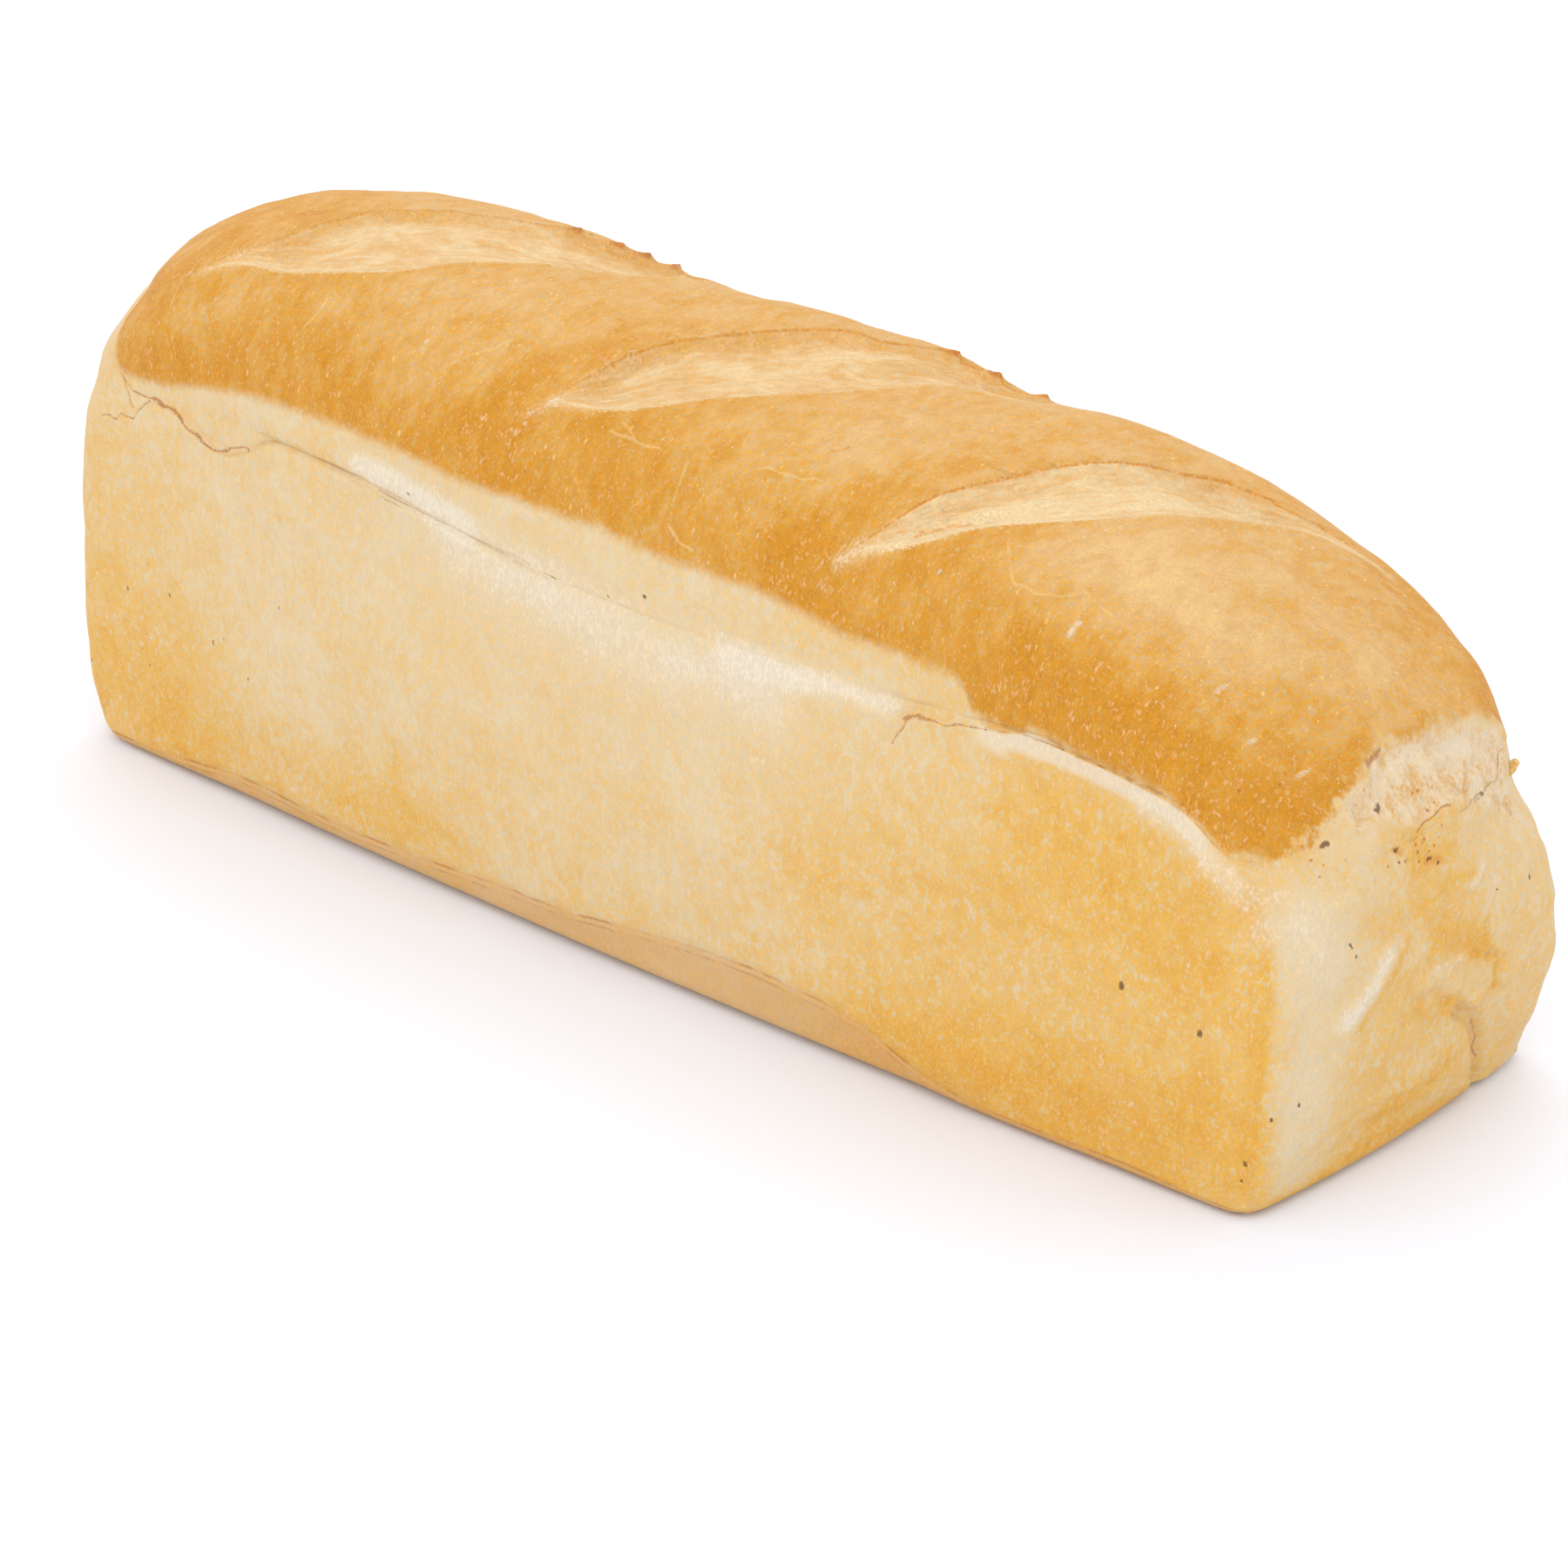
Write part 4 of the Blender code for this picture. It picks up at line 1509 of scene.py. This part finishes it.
@dataclass(frozen=True)
class Grain:
    """Patterns that run through the whole crust, each between 0 and 1."""

    mottle: Socket
    fleck: Socket
    cloud: Socket


@dataclass(frozen=True)
class CrustFinish:
    """Baked crust: pale walls with golden patches, a golden-brown crown and cream slashes."""

    wall_pale: Tint = tint(214, 196, 162)
    wall_golden: Tint = tint(216, 168, 76)
    wall_amber: Tint = tint(212, 150, 44)
    flour_white: Tint = tint(220, 206, 182)
    # The crown's colours; its tan and light ones stand partly for painted sheen on the upper crown.
    crown_sheen_light: Tint = tint(224, 184, 118)
    crown_tan_and_sheen: Tint = tint(209, 169, 114)
    crown_golden: Tint = tint(207, 152, 58)
    crown_deep: Tint = tint(196, 130, 20)
    speck_pale: Tint = tint(226, 194, 134)
    slash_cream: Tint = tint(222, 197, 152)
    slash_tan: Tint = tint(208, 160, 94)
    torn_pale: Tint = tint(222, 204, 174)
    # Brown of the cracks and of the painted shade lines in the creases.
    crack_and_shade_brown: Tint = tint(166, 98, 40)
    edge_orange: Tint = tint(206, 134, 40)
    foot_tan: Tint = tint(202, 156, 102)
    ember: Tint = tint(186, 108, 36)
    burnt: Tint = tint(88, 50, 24)
    roughness: float = 0.62
    shine: float = 0.25
    bump: tuple[float, float] = (0.22, 0.8)
    specks: tuple = ((1.3, 0.26, 0.66), (2.1, 0.24, 0.64), (3.6, 0.2, 0.45))
    speck_share: float = 0.58
    crumb_size: float = 2.3
    # Painted shade lines in the crease at the foot: (depth below it, strength).
    foot_shade_lines: tuple = ((0.0, 0.55), (-1.7, 0.3))

    def make(self) -> bpy.types.Material:
        """Build the material."""
        graph = Graph("crust")
        grain = Grain(
            mottle=graph.spread(graph.noise(2.0, (1.0, 1.0, 1.4), detail=4, roughness=0.75), 0.3, 0.7),
            fleck=graph.spread(graph.noise(0.8, (0.9, 1.1, 1.8), detail=2, roughness=0.6), 0.34, 0.66),
            cloud=graph.noise(17, (1.2, 1.0, 0.9), detail=2),
        )
        wall = self.wall_colour(graph, grain)
        crown = self.crown_colour(graph, grain)
        rag = graph.spread(graph.noise(4.5, detail=3, roughness=0.6), 0.25, 0.75)
        rag = graph.times(graph.shifted(rag, -0.5), graph.trait("ragged"))
        edge = graph.total((graph.trait("brown"), 1.0), (rag, 6.0), (grain.mottle, 0.5), (grain.cloud, 3.0),
                           shift=-1.75)
        browned = graph.spread(edge, -1.9, 2.1)
        skin = graph.mix(browned, wall, crown)
        skin = self.add_slashes(graph, skin, grain)
        skin = self.add_marks(graph, skin, grain)
        fine = graph.noise(0.5, (1.0, 1.0, 1.6), detail=1)
        fine = graph.total((grain.fleck, 1.0), (fine, 1.0), shift=-1.0)
        level = graph.shifted(graph.times(fine, graph.total((browned, 0.12), shift=0.12)), 1.0)
        colour = graph.add("VectorMath", skin, level, operation="MULTIPLY").outputs["Vector"]
        relief = graph.total((graph.noise(0.8, (1.0, 1.0, 1.3), detail=3), 0.7), (grain.mottle, 0.15))
        graph.shader.inputs["Specular IOR Level"].default_value = self.shine
        graph.finish(colour, self.roughness, relief, *self.bump)
        return graph.material

    def wall_colour(self, graph: Graph, grain: Grain) -> Socket:
        """Colour of the pale walls and ends.

        Args:
            graph: The material's nodes.
            grain: The crust's grain.

        Returns:
            The colour.
        """
        golden, mottle, fleck, cloud = graph.trait("golden"), grain.mottle, grain.fleck, grain.cloud
        blotch = graph.noise(7.0, (1.0, 1.0, 1.2), detail=3, roughness=0.6, warp=0.6)
        baked = graph.total((golden, 1.1), (mottle, 0.62), (fleck, 0.62), (cloud, 0.9), (blotch, 0.8),
                            shift=-1.37)
        colour = graph.mix(graph.spread(baked, -0.35, 1.25), self.wall_pale, self.wall_golden)
        amber = graph.total((golden, 0.9), (mottle, 0.8), (fleck, 0.5), (blotch, 1.6), shift=-2.15)
        colour = graph.mix(graph.spread(amber, -0.2, 0.9, 0.85), colour, self.wall_amber)
        floury = graph.total((mottle, -0.8), (fleck, -0.8), (blotch, -0.6), shift=1.1)
        colour = graph.mix(graph.spread(floury, 0.1, 0.8, 0.5), colour, self.wall_pale)
        torn = graph.total((graph.trait("torn"), 1.0), (mottle, 1.6), (cloud, 3.0), shift=-2.3)
        fibre = graph.noise(5.0, (1.0, 1.0, 1.3), detail=4, roughness=0.7)
        fibre = graph.total((fibre, 0.7), (fleck, 0.15), (mottle, 0.15))
        ragged = graph.mix(graph.spread(fibre, 0.43, 0.64), self.torn_pale, self.slash_tan)
        colour = graph.mix(graph.spread(torn, -1.0, 2.0, 0.85), colour, ragged)
        powder = graph.total((graph.trait("white"), 1.0), (mottle, 0.45), (fleck, 0.12), (cloud, 0.8),
                             shift=-0.71)
        return graph.mix(graph.spread(powder, 0.05, 0.95), colour, self.flour_white)

    def crown_colour(self, graph: Graph, grain: Grain) -> Socket:
        """Colour of the browned crown, with its pale specks; the paler tan and light colours towards its
        top are partly painted sheen.

        Args:
            graph: The material's nodes.
            grain: The crust's grain.

        Returns:
            The colour.
        """
        panel = graph.noise(9, (0.9, 1.2, 1.2), detail=4, roughness=0.65, warp=0.3)
        running = graph.noise(4.5, (0.6, 1.2, 1.6), detail=3, roughness=0.6)
        toast_and_sheen = graph.total((graph.trait("toast_and_sheen"), 0.8), (grain.mottle, 0.65), (grain.fleck, 1.0),
                            (grain.cloud, 0.9), (graph.spread(panel, 0.4, 0.62), 0.4),
                            (graph.spread(running, 0.32, 0.68), 0.4), shift=-1.58)
        # Painted sheen, in part: low shares give the paler tan and light colours high on the crown.
        colour = graph.mix(graph.spread(toast_and_sheen, -0.4, 0.65), self.crown_tan_and_sheen, self.crown_golden)
        colour = graph.mix(graph.spread(toast_and_sheen, 0.35, 1.3), colour, self.crown_deep)
        colour = graph.mix(graph.spread(toast_and_sheen, -0.35, -0.95), colour, self.crown_sheen_light)
        speck = None
        for size, radius, kept in self.specks:
            near, chance = graph.cells(size, (0.7, 1.2, 1.8))
            dot = graph.times(graph.spread(near, radius, radius * 0.4),
                              graph.spread(chance, kept, kept + 0.1),
                              graph.spread(chance, kept, 1.0, bottom=0.25))
            speck = dot if speck is None else graph.math("MAXIMUM", speck, dot)
        return graph.mix(graph.times(speck, self.speck_share), colour, self.speck_pale)

    def add_slashes(self, graph: Graph, skin: Socket, grain: Grain) -> Socket:
        """Lay the cream slashes with their strings and edges over the skin.

        Args:
            graph: The material's nodes.
            skin: Colour of the skin round them.
            grain: The crust's grain.

        Returns:
            The colour.
        """
        far, near, cut = (graph.trait(name) for name in ("cut_far", "cut_near", "cut_in"))
        along = graph.math("DIVIDE", graph.trait("cut_along"), 5.0)
        strand = graph.add("CombineXYZ", along, graph.trait("cut_across"), 0.0).outputs[0]
        strings = graph.spread(graph.noise(0.9, detail=2, roughness=0.6, place=strand, warp=0.3), 0.3, 0.7)
        broad = graph.spread(graph.noise(3.2, detail=2, place=strand, warp=0.5), 0.3, 0.7)
        shade = graph.total((strings, 0.45), (broad, 0.5), (grain.fleck, 0.55), (grain.mottle, 0.3),
                            (graph.spread(far, 7.0, 1.5), 0.3), (graph.spread(near, 2.2, 1.0), -0.35),
                            (graph.trait("tone"), 1.0), shift=-0.42)
        cream = graph.mix(graph.spread(shade, -0.15, 1.05), self.slash_cream, self.slash_tan)
        cream = graph.mix(graph.spread(shade, 0.8, 1.5, 0.8), cream, self.crown_golden)
        ragged = graph.total((cut, 1.0), (grain.fleck, 0.9), shift=-0.45)
        ragged = graph.math("DIVIDE", ragged, graph.total((graph.trait("soft"), 2.2), shift=0.55))
        skin = graph.mix(graph.spread(ragged, -1.0, 1.0), skin, cream)
        line = graph.times(graph.spread(graph.apart(far, 0.1), 0.36, 0.08), graph.spread(near, 1.0, 4.0),
                           graph.spread(graph.apart(cut), 1.2, 0.6), graph.trait("edge"),
                           graph.spread(graph.noise(4.0), 0.35, 0.6, 0.95, 0.4))
        skin = graph.mix(line, skin, self.edge_orange)
        scorch = graph.times(graph.trait("tip"), graph.spread(graph.apart(far), 1.1, 0.2),
                             graph.spread(graph.apart(cut), 2.4, 1.6))
        skin = graph.mix(graph.spread(scorch, 0.45, 0.95, 0.75), skin, self.ember)
        haze = graph.total((graph.trait("haze"), 1.0), (grain.mottle, 0.4), (grain.fleck, 0.3), shift=-0.4)
        return graph.mix(graph.spread(haze, 0.0, 0.7, 0.8), skin, self.flour_white)

    def add_marks(self, graph: Graph, skin: Socket, grain: Grain) -> Socket:
        """Draw the foot, painted shade lines in its crease, along the seam and under the crown's
        overhanging edge, the cracks, wrinkles, blisters and burnt dots.

        Args:
            graph: The material's nodes.
            skin: Colour of the skin round them.
            grain: The crust's grain, which roughens their edges.

        Returns:
            The colour.
        """
        foot = graph.math("ADD", graph.trait("foot"), graph.times(grain.mottle, 0.3))
        strip = graph.trait("strip")
        skin = graph.mix(graph.times(graph.spread(foot, 0.3, -0.4, 0.6), strip), skin, self.foot_tan)
        # Painted shade: thin broken brown lines in the crease at the foot.
        for depth, share in self.foot_shade_lines:
            broken = graph.spread(graph.noise(9.0), 0.4, 0.6, bottom=0.2)
            line = graph.times(graph.spread(graph.apart(foot, depth), 0.5, 0.15, share), broken, strip)
            skin = graph.mix(line, skin, self.crack_and_shade_brown)
        # Painted shade: a thin brown line along the crease under the crown, where the skin steps in.
        seam = graph.spread(graph.apart(graph.trait("seam"), 0.3), 0.42, 0.1, 0.34)
        skin = graph.mix(graph.times(seam, graph.trait("groove")), skin, self.crack_and_shade_brown)
        streak = graph.total((graph.trait("streak"), 1.0), (grain.mottle, 0.3), shift=-0.15)
        skin = graph.mix(graph.spread(streak, 0.0, 0.9, 0.72), skin, self.flour_white)
        # Painted shade: a thin broken brown line along the crown's lower edge where it overhangs the band
        # on the right of the front.
        rim = graph.spread(graph.apart(graph.trait("brown"), -0.1), 0.28, 0.08)
        broken = graph.spread(graph.noise(4.0, detail=3), 0.45, 0.58)
        rim = graph.times(rim, graph.trait("over"), broken, 0.4)
        skin = graph.mix(rim, skin, self.crack_and_shade_brown)
        near, chance = graph.cells(self.crumb_size)
        crumb = graph.times(graph.spread(near, 0.28, 0.12), graph.spread(chance, 0.5, 0.9),
                            graph.trait("speckle"))
        wobble = graph.times(graph.shifted(grain.fleck, -0.5), 0.8)
        wrinkle, line, crack, spot = (graph.math("ADD", graph.trait(name), wobble)
                                      for name in ("wrinkle", "line", "crack", "spot"))
        for value, outer, inner, share, colour in (
            (wrinkle, 1.8, 0.2, 0.5, self.speck_pale),
            (graph.trait("blister"), 1.5, 0.5, 0.6, self.flour_white),
            (line, 2.0, 0.3, 0.6, self.edge_orange),
            (crumb, 0.05, 0.5, 0.8, self.ember),
            (crack, 2.0, 0.3, 0.72, self.crack_and_shade_brown),
            (spot, 1.3, 0.5, 0.8, self.burnt),
        ):
            skin = graph.mix(graph.spread(value, outer, inner, share), skin, colour)
        return skin


@dataclass(frozen=True)
class FlakeFinish:
    """Golden crust of the torn flake."""

    pale: Tint = tint(222, 192, 132)
    golden: Tint = tint(208, 156, 72)
    roughness: float = 0.7
    bump: tuple[float, float] = (0.1, 1.0)

    def make(self) -> bpy.types.Material:
        """Build the material."""
        graph = Graph("torn_crust")
        grain = graph.spread(graph.noise(0.9, detail=3), 0.35, 0.65)
        colour = graph.mix(grain, self.pale, self.golden)
        graph.finish(colour, self.roughness, graph.noise(0.5), *self.bump)
        return graph.material


# ---------------------------------------------------------------- studio


@dataclass(frozen=True)
class Lamp:
    """A soft square lamp that faces the loaf."""

    name: str
    place: Triple
    size: float
    power: float

    def hang(self, target: Vector) -> None:
        """Place the lamp and turn it to a point.

        Args:
            target: The point that it faces, in metres.
        """
        data = bpy.data.lights.new(self.name, "AREA")
        data.shape = "SQUARE"
        data.size = self.size
        data.energy = self.power
        lamp = bpy.data.objects.new(self.name, data)
        lamp.location = self.place
        lamp.rotation_euler = (target - lamp.location).to_track_quat("-Z", "Y").to_euler()
        bpy.context.scene.collection.objects.link(lamp)


@dataclass(frozen=True)
class Studio:
    """A plain pale floor under soft light, and the camera."""

    floor_size: float = 9.0
    azimuth: float = 41.961
    elevation: float = 25.521
    distance: float = 1188.7
    aim: Triple = (7.393, 1.496, 29.212)
    lens: float = 110.0
    sensor: float = 36.0
    lamps: tuple[Lamp, ...] = (
        Lamp("key", (-0.9, 0.9, 1.7), 1.6, 6.5),
        Lamp("fill", (0.6, -1.6, 1.2), 2.0, 7.0),
    )
    sky: float = 1.15

    def build(self) -> None:
        """Lay the floor, light the loaf and set the camera."""
        self.lay_floor()
        self.light()
        self.set_camera()

    def lay_floor(self) -> None:
        """Lay a plain white floor just under the loaf."""
        bpy.ops.mesh.primitive_plane_add(size=self.floor_size, location=(0, 0, -0.0002))
        floor = bpy.context.active_object
        floor.name = "floor"
        bpy.ops.object.transform_apply(location=True)
        graph = Graph("floor_white")
        graph.shader.inputs["Base Color"].default_value = (0.86, 0.885, 0.96, 1.0)
        graph.shader.inputs["Roughness"].default_value = 0.9
        floor.data.materials.append(graph.material)

    def light(self) -> None:
        """Fill the sky with white light and hang the lamps."""
        world = bpy.data.worlds.new("studio")
        world.use_nodes = True
        background = world.node_tree.nodes["Background"]
        background.inputs["Color"].default_value = (1.0, 1.0, 1.0, 1.0)
        background.inputs["Strength"].default_value = self.sky
        bpy.context.scene.world = world
        for lamp in self.lamps:
            lamp.hang(Vector((0.0, 0.0, 0.06)))

    def set_camera(self) -> None:
        """Stand the camera at its angle and aim it at the loaf."""
        turn, rise = math.radians(self.azimuth), math.radians(self.elevation)
        back = Vector((math.sin(turn) * math.cos(rise), -math.cos(turn) * math.cos(rise), math.sin(rise)))
        data = bpy.data.cameras.new("camera")
        data.lens = self.lens
        data.sensor_width = self.sensor
        camera = bpy.data.objects.new("camera", data)
        camera.location = (Vector(self.aim) + back * self.distance) * MM
        camera.rotation_euler = (-back).to_track_quat("-Z", "Y").to_euler()
        bpy.context.scene.collection.objects.link(camera)
        bpy.context.scene.camera = camera
        bpy.context.scene.view_settings.view_transform = "Standard"


def main() -> None:
    """Build the loaf's skin, dress it and light it."""
    logging.basicConfig(level=logging.INFO, format="%(message)s")
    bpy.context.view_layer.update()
    bpy.ops.object.select_all(action="DESELECT")

    crust = Crust().build(*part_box("loaf"))
    crust.data.materials.append(CrustFinish().make())
    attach(crust, "root")
    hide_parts("loaf")
    log.info("crust: %d faces", len(crust.data.polygons))

    torn = FlakeFinish().make()
    for number, flake in enumerate(FLAKES, 1):
        piece = flake.build(number)
        piece.data.materials.append(torn)
        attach(piece, "root")
        log.info("%s: %d faces", piece.name, len(piece.data.polygons))

    Studio().build()


if __name__ == "__main__":
    main()
